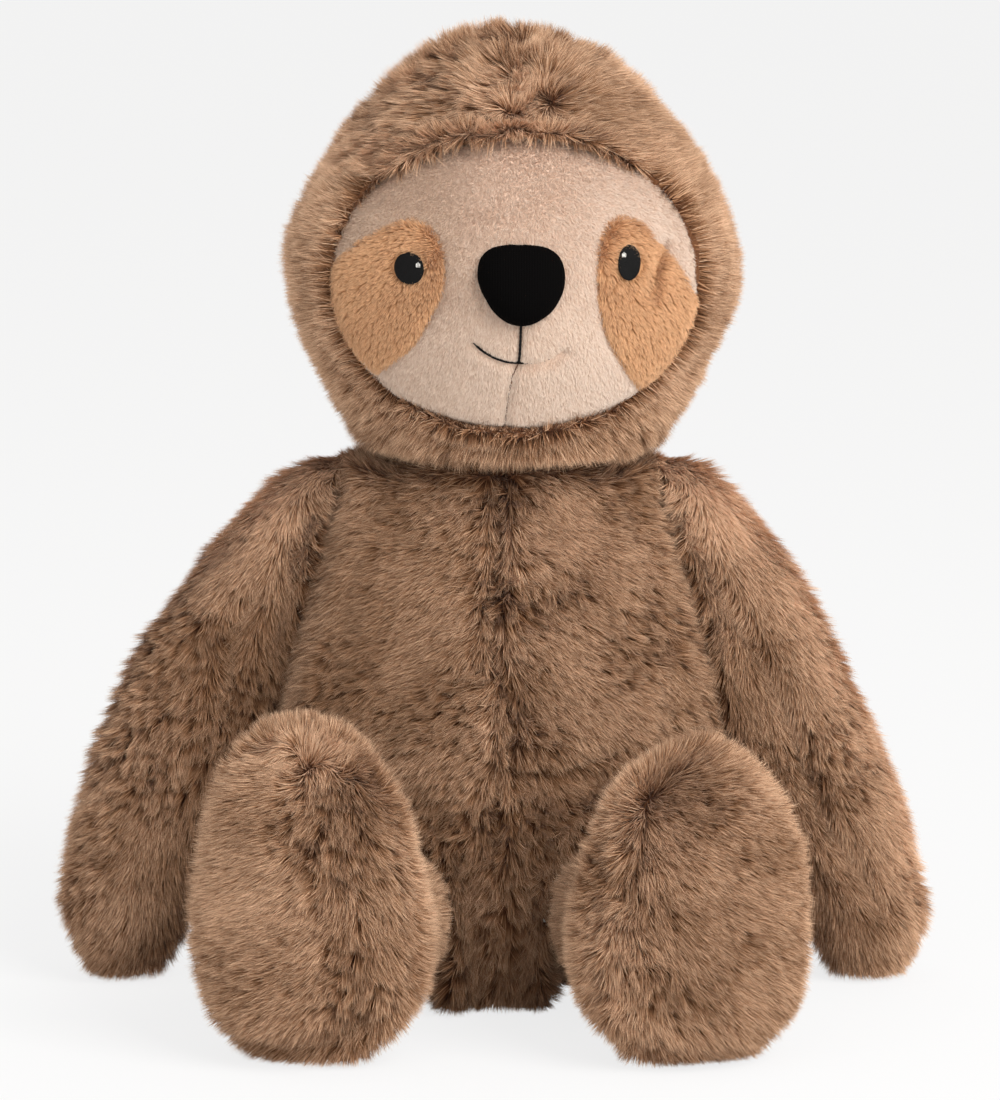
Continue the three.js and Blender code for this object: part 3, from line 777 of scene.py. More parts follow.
# %% Kinds of pile, with strands and tufts for each square metre
FUR = {"Strands": 6.7e6, "Tufts": 0.24e6, "Width": 0.4 * MM, "Spread": 0.38, "Sway": 0.75,
       "Gather": 0.48, "Speckle": 1.3, "Patchy": 1.3, "Blade": BLADE}
FUZZ = {"Strands": 9.5e6, "Tufts": 0.6e6, "Width": 0.32 * MM, "Spread": 0.35, "Sway": 0.5,
        "Gather": 0.3, "Speckle": 0.22, "Patchy": 0.1, "Blade": BLADE}
SHORT_FUR = {"Strands": 11e6, "Tufts": 0.3e6, "Width": 0.33 * MM, "Spread": 0.3, "Sway": 0.4,
             "Gather": 0.55, "Speckle": 0.6, "Patchy": 0.35, "Blade": BLADE}
ROOT_LIFT = 0.45  # how far pale fur skips its dark root
CLOTH_WALL = 0.8  # thickness of the cloth and of the eyes' threads, in millimetres
CLOTH_TONE, CLOTH_ALONG = 0.5, 0.2  # the cloth has the colour of hair near its root
print("fur has", round(FUR["Strands"] / 1e6, 1), "hairs on a square millimetre")


# %% Values painted on the cloth
def paint(mesh, name, kind, values):
    layer = mesh.attributes.new(name, kind, "POINT")
    layer.data.foreach_set("vector" if kind == "FLOAT_VECTOR" else "value",
                           np.asarray(values, np.float32).ravel())


def rim(normal):
    """1 where the cloth faces sideways; there its hair gets painted rim light, so it stands pale."""
    return bump(normal[:, 1], 0.4) * ramp(normal[:, 2], -0.6, 0)


def lying(direction, normal, lean):
    """The direction laid along the cloth, with the lean as its length: 1 lies at 45 degrees.

    Where opposite naps meet the direction is short, and the hair stands up.
    """
    flat = direction - (direction * normal).sum(1)[:, None] * normal
    size = np.linalg.norm(flat, axis=1)
    return flat * (lean * np.minimum(1.8, 1 / np.maximum(size, 1e-6)))[:, None]


# %% The map that carries tone and place along the hair
TONE_START, TONE_SHARE = 0.02, 0.95  # the part of the map's width that tone takes up
MAP_EDGE = 0.005  # left free below and above the part that the hair's length takes up
CORNER_STEP = 0.004  # keeps a blade's three corners apart in the map, so that it has an area there
print("tone takes up", TONE_SHARE, "of the map's width and the hair", ALONG_SHARE, "of its height")


def triangles_of(made):
    made.data.calc_loop_triangles()
    return len(made.data.loop_triangles)


def baked_map(mesh, root_lift):
    """The UV map that holds tone across and place along the hair upwards.

    Pale hair is pale nearly down to its root: root_lift is how far its dark root is skipped.
    """
    tone, along = (np.zeros(len(mesh.vertices), np.float32) for _ in range(2))
    for name, values in (("tone", tone), ("along", along)):
        if name in mesh.attributes:
            mesh.attributes[name].data.foreach_get("value", values)
    # Where painted light lifts the tone past 1, as at the rims, the dark root is skipped further
    # still.
    along += (1 - along) * root_lift * (ramp(tone, 0.55, 1) + ramp(tone, 1, 1.4))
    corner = np.empty(len(mesh.loops), np.int32)
    mesh.loops.foreach_get("vertex_index", corner)
    layer = mesh.uv_layers.new(name=BAKE_MAP)
    apart = (np.arange(len(corner)) % 3) * CORNER_STEP
    uv = np.stack([TONE_START + TONE_SHARE * np.clip(tone, 0, 1)[corner] + apart,
                   MAP_EDGE + (ALONG_SHARE - 2 * MAP_EDGE) * along[corner]], axis=1)
    layer.data.foreach_set("uv", uv.astype(np.float32).ravel())


# %% Pile on one piece of cloth
def grow(name, cloth, nap, kind, seed, material):
    """The cloth, given a little thickness, with pile on its outside."""
    form = bmesh.new()
    form.from_mesh(cloth.data)
    backing = new_object(name + "_backing", form.copy())
    if kind is FUR:
        bmesh.ops.subdivide_edges(form, edges=form.edges[:], cuts=1, use_grid_fill=True)
        form.to_mesh(cloth.data)
    form.free()
    place, normal = points_of(cloth.data)
    comb, pile, ruffle, thick, shade = nap(place, normal)
    # painted rim light: fur on cloth that faces sideways is made paler
    if kind is FUR:
        shade = shade + 0.25 * rim(normal)
    values = (comb, pile * MM, ruffle, thick, shade)
    for (label, data_type), painted in zip(PAINTED.items(), values):
        paint(cloth.data, label, data_type, painted)
    thickened(backing, CLOTH_WALL)
    for label, value in (("tone", CLOTH_TONE), ("along", CLOTH_ALONG)):
        paint(backing.data, label, "FLOAT", np.full(len(backing.data.vertices), value))
    growing = cloth.modifiers.new("pile", "NODES")
    growing.node_group = GROW
    for label, value in (*kind.items(), ("Seed", seed)):
        growing[SOCKETS[label]] = value
    applied(cloth)
    kept_off_floor(cloth)
    both = [cloth, backing]
    with bpy.context.temp_override(active_object=cloth, selected_objects=both,
                                   selected_editable_objects=both):
        bpy.ops.object.join()
    cloth.name = name
    baked_map(cloth.data, ROOT_LIFT if kind is FUR else 0)
    for extra in (*PAINTED, "tone", "along"):
        if extra in cloth.data.attributes:
            cloth.data.attributes.remove(cloth.data.attributes[extra])
    cloth.data.materials.clear()
    cloth.data.materials.append(material)
    print(name, triangles_of(cloth), "triangles")
    return cloth


# %% Cutting a panel from a skin
def panel(form, planes, keep=None):
    """The part of a skin on the inner side of each plane, as a piece of cloth."""
    cut = bmesh.new()
    cut.from_mesh(form.data)
    for point, direction in planes:
        bmesh.ops.bisect_plane(cut, geom=cut.verts[:] + cut.edges[:] + cut.faces[:],
                               plane_co=Vector(point) * MM, plane_no=Vector(direction),
                               clear_outer=True)
    if keep is not None:
        middles = np.array([f.calc_center_median() for f in cut.faces]) / MM
        out = [f for f, kept in zip(cut.faces[:], keep(middles)) if not kept]
        bmesh.ops.delete(cut, geom=out, context="FACES")
    return new_object("cloth", cut)


# %% [markdown]
# ## The fur covers
#
# Each CAD panel becomes one piece of fur that replaces it. The nap is the way that the pile lies,
# and it could be combed by hand. Here formulas give it, so that it meets at the seams and stays the
# same in each run. It follows the photograph: away from the seam and down on the chest, down and
# outwards on the arms, outwards from the face on the hood, and ruffled and falling forwards over
# the brow. On each sole it parts along a slanting line. Each nap also gives the pile's length, its
# ruffle, its density and its shade at every point.
# Shade is partly the fur's own tone and partly painted light and painted shade.


# %% What all naps share
BODY_PILE, HEAD_PILE = 9.5, 10  # length of the hair in millimetres
BACK_THICK = 0.6  # of the pile's density where only the back is
print("hair is", BODY_PILE, "mm long on the body and", HEAD_PILE, "mm on the head")


def thickness(place, normal, flat):
    """Full at the front, thinner behind, and thin where the pile is pressed out of sight."""
    behind = ramp(place[:, 1], 5, 35) * ramp(normal[:, 1], -0.2, 0.3)
    return (1 - (1 - BACK_THICK) * behind) * (1 - 0.7 * flat)


def patches_of(place, size, draw, low=-0.2):
    """Soft patches, 0 to 1, where the hair is darker and more ruffled."""
    return ramp(drift(place, size, draw)[:, 0], low, 0.3)


# %% The nap of the torso: away from the chest seam and down
SEAM_BY_HEIGHT = [(height, across) for across, height in CHEST_SEAM[::-1]]


def torso_nap(place, normal):
    x, y, z = place.T
    side = np.tanh((x - np.interp(z, *zip(*SEAM_BY_HEIGHT))) / 3)
    front = ramp(-y, -10, 20)
    low = ramp(-z, -100, -75)
    direction = vectors(side * (0.85 - 0.45 * low) * (0.25 + 0.75 * front), 0, -0.8)
    patchy = patches_of(place, 24, 21, -0.25)
    calm = bump(x + 36, 26) * bump(z - 140, 40) * front
    ruffle = (0.3 + 0.5 * patchy) * (1 - 0.6 * calm) + 0.3 * bump(x, 14) * front
    direction += drift(place, 30, 2) * 0.35 + drift(place, 9, 22) * ruffle[:, None] * 0.75
    flat = pressed(place, TORSO_PRESSED)
    hidden = np.maximum(flat, 0.8 * beside_leg(place) * ramp(y, -64, -50))
    line = torso_seams(place, 1.8)
    corner = ramp(np.abs(x), 36, 54) * ramp(z, 176, 190)
    pile = BODY_PILE * (1 - 0.6 * np.maximum(hidden, 0.7 * corner)) * (1 - 0.7 * line)
    thick = thickness(place, normal, hidden)
    # shade: patchy darkens the fur's own tone; the rest is painted: light on the top corners, and
    # shade in the seams, on the toy's right side and low on the belly
    shade = 0.1 * corner - 0.3 * line + 0.1 - 0.3 * patchy
    shade -= 0.17 * ramp(-x, 0, 20) * (1 - low) + 0.24 * low
    return lying(direction, normal, 1.0), pile, ruffle * (1 - 0.5 * corner), thick, shade


# %% The nap of the hood: out from the face, ruffled at the crown, over the brow, and down behind
WHORL = (4.0, 58.0)  # across and above the middle of the face
SWEPT, DOWN_BEHIND = np.array([0.95, 0.35, -0.15]), np.array([0, 1.0, -1.0])


def head_direction(place, normal, wall, brow, smooth, ruffle):
    """Which way the hood's hair lies, before it is laid along the cloth."""
    across, rise, share, _ = on_face(place)
    out = vectors(across * 1.1, 25, rise)
    out /= np.linalg.norm(out, axis=1, keepdims=True)
    parted = vectors(across - WHORL[0], -8, rise - WHORL[1]) + drift(place, 8, 32) * 22
    parted /= np.maximum(np.linalg.norm(parted, axis=1, keepdims=True), 26)
    parted = blend(parted, vectors(across * 0.012, -0.7, -0.8), ramp(-share, -1.24, -1.06))
    direction = blend(blend(out, parted, brow), SWEPT, smooth)
    direction = blend(direction, DOWN_BEHIND, ramp(place[:, 1], 12, 40))
    direction += drift(place, 24, 3) * 0.3 + drift(place, 8, 24) * ruffle[:, None] * 0.8
    over_edge = MUZZLE_WARD + np.array([0, 0, -0.4]) * brow[:, None]
    return blend(direction, over_edge, wall)


def head_nap(place, normal):
    across, rise, share, depth = on_face(place)
    before = in_front(depth)
    right = ramp(across + drift(place, 14, 31)[:, 0] * 9, 8, 32)
    high = ramp(rise, 30, 46) * ramp(-depth, -10, 20)
    brow = high * ramp(-np.abs(across + 10), -66, -44) * (1 - 0.85 * right)
    smooth = high * right
    patchy = patches_of(place, 22, 23)
    ruffle = 0.28 + 0.27 * patchy * (1 - smooth) + 0.25 * brow
    wall = faces_middle(across, rise, normal) * before
    direction = head_direction(place, normal, wall, brow, smooth, ruffle)
    flat = pressed(place, [HEAD_BASE])
    fringe = ramp(-share, -1.24, -1.06)
    under = ramp(-share, -0.93, -0.89) * before
    upwards = ramp(rise, WHORL[1] - 12, WHORL[1] + 2) * before
    star = bump(np.hypot(across - WHORL[0], rise - WHORL[1]), 12) * before
    chin = ramp(-rise, 15, 40) * wall
    meeting = bump(share - 1.15, 0.09) * brow * before
    below_chin = bump(share - 1.04, 0.06) * ramp(-rise, 10, 35) * before
    tuft = bump(across - 4, 10) * ramp(rise, 52, 62) * before
    on_rim = 1 - 0.5 * wall - 0.3 * np.maximum(chin, brow * wall)
    pile = HEAD_PILE * (1 - 0.5 * flat) * on_rim * (1 - 0.3 * star)
    pile *= 1 - 0.3 * below_chin
    thick = thickness(place, normal, flat) * (1 - under)
    thick *= 1 + 0.2 * brow + 0.3 * np.maximum(star, meeting)
    # shade: patchy darkens the fur's own tone; the rest is painted light and painted shade: paler over
    # the whole hood and towards the toy's right, at the whorl, the crown's tuft, the brow's fringe,
    # where the naps meet, and on the rim's inner wall at the chin and just below it, where shadow
    # falls, and darker low on the hood
    shade = 0.15 + 0.08 * ramp(-across, 0, 50) + 0.1 * star - 0.2 * patchy * (1 - brow)
    shade += 0.3 * chin + 0.15 * meeting - 0.15 * brow * patchy + 0.3 * brow * fringe
    shade += 0.15 * ramp(-across, 42, 62) + 0.1 * below_chin + 0.15 * tuft
    shade -= 0.1 * ramp(-rise, 30, 60) * before
    lean = (1.0 + 0.8 * upwards) * (1 - 0.6 * below_chin)
    return lying(direction, normal, lean), pile, ruffle * (1 - 0.6 * star), thick, shade


# %% The nap of the arms: down and outwards
ARM_REACH = {1: 135, -1: 138}
ARM_MIDDLE = {  # heights, and how far out the arm's middle line runs there as a share of the reach
    1: [(0, 1), (28, 0.98), (62, 0.885), (100, 0.775), (138, 0.655), (170, 0.48), (194, 0.43)],
    -1: [(0, 1), (28, 0.985), (62, 0.925), (100, 0.825), (138, 0.665), (170, 0.475),
         (194, 0.42)],
}


def arm_middle(side, height):
    """How far out the arm's middle line runs at a height."""
    return ARM_REACH[side] * np.interp(height, *zip(*ARM_MIDDLE[side]))


def arm_nap(side):
    # painted light: the arm on the toy's left, towards the lamp, is paler, and each arm's outer half
    # paler still as rim light
    painted_side_light, painted_outer_light = (0.22, 0.45) if side > 0 else (0.0, 0.3)

    def nap(place, normal):
        direction = np.tile([side * 0.5, 0.0, -1.0], (len(place), 1))
        close = ramp(-past_shoulder(side, place), -16, -5)
        edge = np.maximum(ramp(-side * normal[:, 0], -0.1, 0.5), close)
        beside = edge * ramp(place[:, 2], 105, 130) * ramp(-normal[:, 2], -0.75, -0.45)
        direction[:, 0] -= side * 1.5 * beside
        direction[:, 1] += 0.9 * np.tanh((place[:, 1] - 8) / 8) * ramp(normal[:, 2], 0.1, 0.6)
        patchy = patches_of(place, 26, 25 + side, -0.25)
        ruffle = 0.25 + 0.55 * patchy
        direction += drift(place, 26, 4 + side) * 0.5 + drift(place, 10, 27) * ruffle[:, None] * 0.75
        flat = pressed(place, [FLOOR, shoulder_plane(side)])
        on_top = close * ramp(normal[:, 2], 0.5, 0.8)
        folded = 1 - 0.3 * arm_fold(side, place)
        pile = BODY_PILE * (1 - 0.6 * np.maximum(flat, on_top)) * folded
        thick = thickness(place, normal, 0.5 * flat * (1 - on_top))
        top = ramp(place[:, 2], 160, 180)
        out_by = side * place[:, 0] - arm_middle(side, place[:, 2])
        # shade: patchy darkens the fur's own tone; the rest is painted light and painted shade: the
        # shoulder's top paler, and the inner side darker next to the body
        shade = painted_side_light + 0.35 * top - 0.35 * patchy
        shade += painted_outer_light * ramp(out_by, 3, 20) - 0.35 * (1 - top) * ramp(-out_by, 0, 18)
        shade += 0.2 * on_top
        lean = 1.0 + 0.8 * ramp(normal[:, 2], 0.2, 0.7)
        return lying(direction, normal, lean), pile, ruffle, thick, shade
    return nap


# %% The nap of the legs, which parts on the soles
# The parting: across at the height of 30 and its slope, then the nap on the toy's right and on its
# left of that line, as across and up.
SOLE_PARTING = {
    -1: (12, -0.25, (-0.95, -0.35), (0.5, -0.9)),
    1: (-27, 0.05, (-0.8, -0.4), (0.8, -0.6)),
}


def leg_nap(side):
    middle, slope, right, left = SOLE_PARTING[side]

    def nap(place, normal):
        x, y, z = into(LEG_FRAME[side], place).T
        wander = drift(place, 8, 34)
        parting = x - middle - slope * (z - 30) + 12 * wander[:, 0]
        share = 0.5 + 0.5 * np.tanh(parting / 13)
        sole = ramp(-y, 78, 90)
        over = vectors(right[0] + (left[0] - right[0]) * share, 0,
                       right[1] + (left[1] - right[1]) * share)
        over[:, 2] += ramp(z + 24 * wander[:, 1], 60, 90) * 1.9
        direction = blend(vectors(x * 0.02, 0.5, (z - 12) * 0.02), over, sole)
        patchy = patches_of(place, 22, 28 + side)
        star = bump(parting, 14) * bump(z - 76, 14) * sole
        ruffle = (0.25 + 0.35 * patchy + 0.25 * bump(parting, 12) * sole) * (1 - 0.6 * star)
        direction += drift(place, 22, 7 + side) * 0.3 + drift(place, 9, 29) * ruffle[:, None] * 0.65
        direction += drift(place, 7, 33) * 0.7 * star[:, None]
        crease, below = sole_crease(side, place)
        direction[:, 0] *= 1 - below
        direction = turned(LEG_FRAME[side], direction)
        inside_seat = ramp(y, -30, -10)
        flat = np.maximum(pressed(place, [FLOOR]), inside_seat)
        at_edge = 1 - 0.6 * crease - 0.3 * below
        pile = BODY_PILE * (1 - 0.6 * flat) * at_edge * (1 - 0.25 * star)
        thick = thickness(place, normal, flat) * (1 + 0.3 * star)
        # shade: patchy darkens the fur's own tone; crease paints shade along the sole's lower edge,
        # star paints light on the whorl, and lit paints light on the left sole, which is then darkened
        # a little
        shade = 0.1 - 0.25 * patchy - 0.3 * crease + 0.3 * star
        if side > 0:
            lit = 0.12 * ramp(x, -10, 22) + 0.3 * ramp(z, 50, 75) + 0.1 * bump(parting, 10)
            shade += lit * sole
            shade -= 0.06 * sole
        lean = 0.95 + 1.1 * (ramp(z, 58, 78) * sole)
        return lying(direction, normal, lean), pile, ruffle, thick, shade
    return nap


# %% [markdown]
# The real covers are cut from fur cloth and sewn edge to edge. Here each one is cut from its body's
# skin along the same seams, so neighbours meet exactly and the cut edges are lost in the fur. A
# piece then moves with its body, and the CAD nodes that it stands for are hidden.


# %% A fur cover in place of its CAD panel
def dressed(piece, body, slot, *nodes):
    """The piece, told which body it rides on; the CAD nodes that it replaces are hidden, and slot, its
    finish, is not used.
    """
    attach(piece, body)
    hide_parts(*nodes)
    return piece


def fur_cover(node, body, nap, seed, planes, keep=None):
    """A panel cut from the body's skin, with fur on it."""
    cloth = panel(SKINS[body], planes, keep)
    dressed(grow(node + "_fur", cloth, nap, FUR, seed, BROWN_FUR), body, "brown_fur", node)


# %% Torso covers
def cut_at(height, up):
    """A level cut that keeps what is below it, or above it where up is -1."""
    return (0, 0, height), (0, 0, up)


BELLY_SEAM, SEAT_SEAM = 90.0, 13.0
ORIGIN = (0, 0, 0)
FRONT_HALF, BACK_HALF = (ORIGIN, (0, 1, 0)), (ORIGIN, (0, -1, 0))
LEVELS = {
    "torso_front": [FRONT_HALF, cut_at(BELLY_SEAM, -1)],
    "torso_lower": [FRONT_HALF, cut_at(BELLY_SEAM, 1), cut_at(SEAT_SEAM, -1)],
    "torso_back": [BACK_HALF, cut_at(SEAT_SEAM, -1)],
}
seed = 1
for level, planes in LEVELS.items():
    for side_name, side in SIDES.items():
        side_cut = (ORIGIN, (-side, 0, 0))
        fur_cover(f"{level}_{side_name}", "torso", torso_nap, seed, [*planes, side_cut])
        seed += 2
fur_cover("seat_panel", "torso", torso_nap, seed, [cut_at(SEAT_SEAM, 1)])

# %% The hood, open round the face
CROWN_SEAM = 4.0  # how far to the toy's left the seam over the crown runs, in millimetres
HOOD_EDGE = 0.86  # share of the way to the face's rim at which the hood's cloth starts
BEHIND_FACE = -5  # depth in millimetres behind which all of the skin is hood


def outside_face(middles):
    """Which faces of the head's skin belong to the hood and not to the face panel."""
    _, _, share, depth = on_face(middles)
    return (share > HOOD_EDGE) | (depth > BEHIND_FACE)


for side_name, side in SIDES.items():
    seed += 2
    crown_cut = ((CROWN_SEAM, 0, 0), (-side, 0, 0))
    fur_cover(f"hood_{side_name}", "head", head_nap, seed, [crown_cut], outside_face)


# %% Arms, each of an outer and an inner panel, and legs, each of a cover and a sole
def arm_half(side, sign):
    """Keeps what lies outside the arm's middle line, or inside it where sign is -1."""
    return lambda middles: sign * (side * middles[:, 0] - arm_middle(side, middles[:, 2])) > 0


for side_name, side in SIDES.items():
    for part, sign in (("outer", 1), ("inner", -1)):
        seed += 2
        fur_cover(f"arm_{part}_{side_name}", f"arm_{side_name}", arm_nap(side), seed, [],
                  arm_half(side, sign))
    seam_point = LEG_FRAME[side] @ Vector((0, SOLE_SEAM, 0))
    seam_direction = LEG_FRAME[side].to_3x3() @ Vector((0, -1, 0))
    for part, direction in (("leg_cover", seam_direction), ("sole_panel", -seam_direction)):
        seed += 2
        fur_cover(f"{part}_{side_name}", f"leg_{side_name}", leg_nap(side), seed,
                  [(seam_point, direction)])

# %% [markdown]
# ## The filling
#
# Inside each cover is a wad of polyester fibre that keeps it round, and the seat holds a small
# weighted bag. They don't show, but the real toy has them, so each gets a closed form just inside
# its cover.


# %% Fillings
FILLING_VOXEL, UNDER_COVER = 4.5, 2.2  # millimetres


def filling(body):
    nodes, sunk = BODIES[body]

    def deeper(place, normal):
        """As deep as the cover and a little more; in the head also clear of the hood's rim."""
        extra = np.zeros(len(place))
        if body == "head":
            _, _, share, depth = on_face(place)
            at_rim = ramp(-share, -1.14, -1.04) - ramp(-share, -1.0, -0.92)
            extra = 12 * at_rim * in_front(depth)
        return sunk(place, normal) + normal * (UNDER_COVER + extra)[:, None]

    limb, _, side_name = body.partition("_")
    wad_name, solid_name = ("_".join(filter(None, (limb, word, side_name)))
                            for word in ("filling", "stuffing"))
    wad = smooth_faces(skin(wad_name, nodes, deeper, FILLING_VOXEL))
    wad.data.materials.append(FIBRE_FILL)
    dressed(wad, body, "fibre_fill", solid_name)


for body in BODIES:
    filling(body)
for form in SKINS.values():
    bpy.data.objects.remove(form)

# %% The weighted bag in the seat: a cube puffed into a small cushion
BAG_MIDDLE = (0, 14, 17)
BAG_HALF = (33, 23, 1.5)  # half its size at the corners, in millimetres
BAG_DRAWN = (4, 3)  # how far the middles of its sides are drawn in
BAG_CROWN = 8.5  # how far its middle stands up

bag = bmesh.new()
bmesh.ops.create_cube(bag, size=1)
bmesh.ops.subdivide_edges(bag, edges=bag.edges[:], cuts=9, use_grid_fill=True)
for vert in bag.verts:
    x, y, z = (2 * c for c in vert.co)
    crown = (1 - abs(x) ** 3) * (1 - abs(y) ** 3)
    vert.co = Vector((x * (BAG_HALF[0] - BAG_DRAWN[0] * (1 - abs(y) ** 2)),
                      BAG_MIDDLE[1] + y * (BAG_HALF[1] - BAG_DRAWN[1] * (1 - abs(x) ** 2)),
                      BAG_MIDDLE[2] + z * (BAG_HALF[2] + BAG_CROWN * max(0, crown)))) * MM
bmesh.ops.recalc_face_normals(bag, faces=bag.faces[:])
seat_bag = dressed(new_object("seat_bag", bag, BAG_CLOTH), "torso", "pouch_cloth", "bean_pouch")
print("padded pieces made:", len(BODIES), "fillings and", seat_bag.name)

# %% [markdown]
# ## The face
#
# The face is one domed panel of short plush. Its depth is worked out by a function of the place
# across and above its middle: a dome, a small muzzle, grooves where the mouth and the chin seam
# pull it in, and an edge that rolls under the hood. Everything that sits on the face asks the same
# function, so patches, eyes and threads all follow it.

# %% The lines of the face, as places across and above its middle
CHIN_SEAM = [(0.1, -26.0), (-1.9, -30.1), (-2.8, -35.8), (-3.6, -42.6), (-4.1, -50.0),
             (-4.4, -56.0)]
SMILE =[(-15.7, -18.6), (-12.6, -21.4), (-8.5, -23.9), (-4.4, -25.3), (0.1, -26.0), (5.2, -26.1),
         (9.3, -25.1), (12.4, -23.7), (15.5, -21.6)]
PHILTRUM = [(0.5, -11.5), (0.4, -16.0), (0.3, -20.5), (0.1, -26.0)]
PATCHES = {
    "right": [(-39.7, 21.6), (-31.2, 21.0), (-26.6, 15.5), (-25.2, 4.6), (-26.6, -2.6), (-29.3, -8.3),
              (-32.4, -14.8), (-35.4, -19.7), (-42.2, -26.4), (-48.0, -31.9), (-59.4, -21.5),
              (-64.9, -8.2), (-63.6, 3.8), (-56.5, 11.7), (-47.9, 17.5)],
    "left": [(30.2, 20.6), (35.2, 23.3), (42.7, 21.2), (46.9, 15.2), (51.5, 10.6), (56.0, 5.0),
             (60.5, -3.8), (64.8, -9.9), (63.2, -17.2), (55.2, -29.7), (43.6, -38.9), (39.3, -32.5),
             (35.4, -26.6), (32.0, -20.5), (29.4, -15.2), (27.9, -8.1), (26.9, 2.0), (27.2, 11.4),
             (28.3, 16.7)],
}
PATCH_CREASE = [(51.0, 13.5), (48.4, 9.0), (46.8, 4.0), (46.2, -3.0)]


# %% The face's depth
def face_depth(across, rise, seams=True):
    """The face's place along Y in the head's frame, in millimetres; smaller is further out."""
    share = np.hypot(across / FACE_HALF_WIDTH, rise / FACE_HALF_HEIGHT)
    dome = 64 * np.sqrt(np.clip(1 - (across / 74) ** 2 - (rise / 62) ** 2, 0, 1))
    muzzle = 8 * np.exp(-(across ** 2 + (rise + 6) ** 2) / 34 ** 2)
    fuller = np.where(rise < 0, 9, 4) * share ** 2 * (rise / FACE_HALF_HEIGHT) ** 2
    rolled = 5 * ramp(share, 0.94, 1.02), 9 * ramp(share, 1.0, 1.08)
    depth = -6 - dome - muzzle - fuller + rolled[0] + rolled[1]
    if seams:
        grooves = [(CHIN_SEAM, 1.6, 2.2), (SMILE, 1.0 + ramp(across, 0, 4), 1.8),
                   (PHILTRUM, 0.9, 1.8), (PATCH_CREASE, 3.6, 2.6)]
        grooves += [([*outline, outline[0]], 1.0, 1.6) for outline in PATCHES.values()]
        for line, deep, width in grooves:
            depth = depth + deep * bump(from_line(across, rise, line), width)
    return depth


def face_place(across, rise, lift):
    """The place on the toy of a point on the face, lifted off it."""
    local = vectors(across + FACE_SIDE, face_depth(across, rise) - lift, rise + FACE_MIDDLE)
    return out_of(HEAD_FRAME, local)


print("the face's middle stands", round(-float(face_place(np.zeros(1), np.zeros(1), 0)[0, 1]), 1),
      "mm in front of Y = 0")


# %% Round sheets laid on the face
def disc(count):
    """An even grid of points bent into a disc: a bmesh whose points have x and y up to 1."""
    sheet = bmesh.new()
    bmesh.ops.create_grid(sheet, x_segments=count, y_segments=count, size=1)
    for vert in sheet.verts:
        x, y, _ = vert.co
        vert.co = Vector((x * math.sqrt(1 - y * y / 2), y * math.sqrt(1 - x * x / 2), 0))
    return sheet


def oval(half_width, half_height):
    """How far an oval's edge lies from its middle in each direction."""
    return lambda angle: half_width * half_height / np.hypot(
        half_height * np.cos(angle), half_width * np.sin(angle))


def reach_of(outline, middle):
    """How far the outline lies from the middle in each direction, with its corners softened."""
    x, y = (np.array(outline) - middle).T
    turns, reach = np.arctan2(y, x), np.hypot(y, x)
    order = np.argsort(turns)
    fine = np.linspace(-np.pi, np.pi, 361)
    rough = np.interp(fine, turns[order], reach[order], period=2 * np.pi)
    kernel = np.hanning(15) / np.hanning(15).sum()
    soft = np.convolve(np.concatenate([rough[-8:-1], rough, rough[1:8]]), kernel, "valid")
    return lambda angle: np.interp(angle, fine, soft, period=2 * np.pi)


def laid(sheet, middle, reach, lift):
    """Moves a disc's points on to the face. lift gives their height from the share of the way out."""
    flat = np.array([v.co[:2] for v in sheet.verts])
    out = np.hypot(*flat.T)
    angle = np.arctan2(flat[:, 1], flat[:, 0])
    across = middle[0] + out * reach(angle) * np.cos(angle)
    rise = middle[1] + out * reach(angle) * np.sin(angle)
    for vert, place in zip(sheet.verts, face_place(across, rise, lift(out))):
        vert.co = Vector(place) * MM
    bmesh.ops.recalc_face_normals(sheet, faces=sheet.faces[:])
    if sum(f.normal.y * f.calc_area() for f in sheet.faces) > 0:
        bmesh.ops.reverse_faces(sheet, faces=sheet.faces[:])
    return sheet


# %% The nap of the face
def inside(across, rise, outline, grow_by=0.0):
    """Which places lie inside an outline, pushed out a little from its middle."""
    middle = np.mean(outline, axis=0)
    reach = reach_of(outline, middle)
    away = np.hypot(across - middle[0], rise - middle[1])
    return away < reach(np.arctan2(rise - middle[1], across - middle[0])) + grow_by


NOSE = [(-14.4, 6.0), (-13.4, 10.7), (-10.3, 13.8), (-5.5, 15.0), (0.2, 15.1), (5.4, 14.9),
        (8.8, 14.4), (12.2, 12.7), (14.3, 10.3), (15.6, 3.9), (13.5, -3.5), (11.1, -7.2),
        (7.7, -9.9), (3.9, -11.9), (0.2, -12.3), (-3.3, -11.6), (-6.3, -9.8), (-9.4, -6.7),
        (-11.4, -3.3), (-13.5, 0.7)]


FUZZ_PILE, PATCH_PILE = 1.6, 2.6  # length of the hair in millimetres
PLUSH_LEAN, PLUSH_RUFFLE = 1.1, 0.4
EYE_SOCKET = 5.2  # radius in millimetres that the patch's hair leaves free for the eye


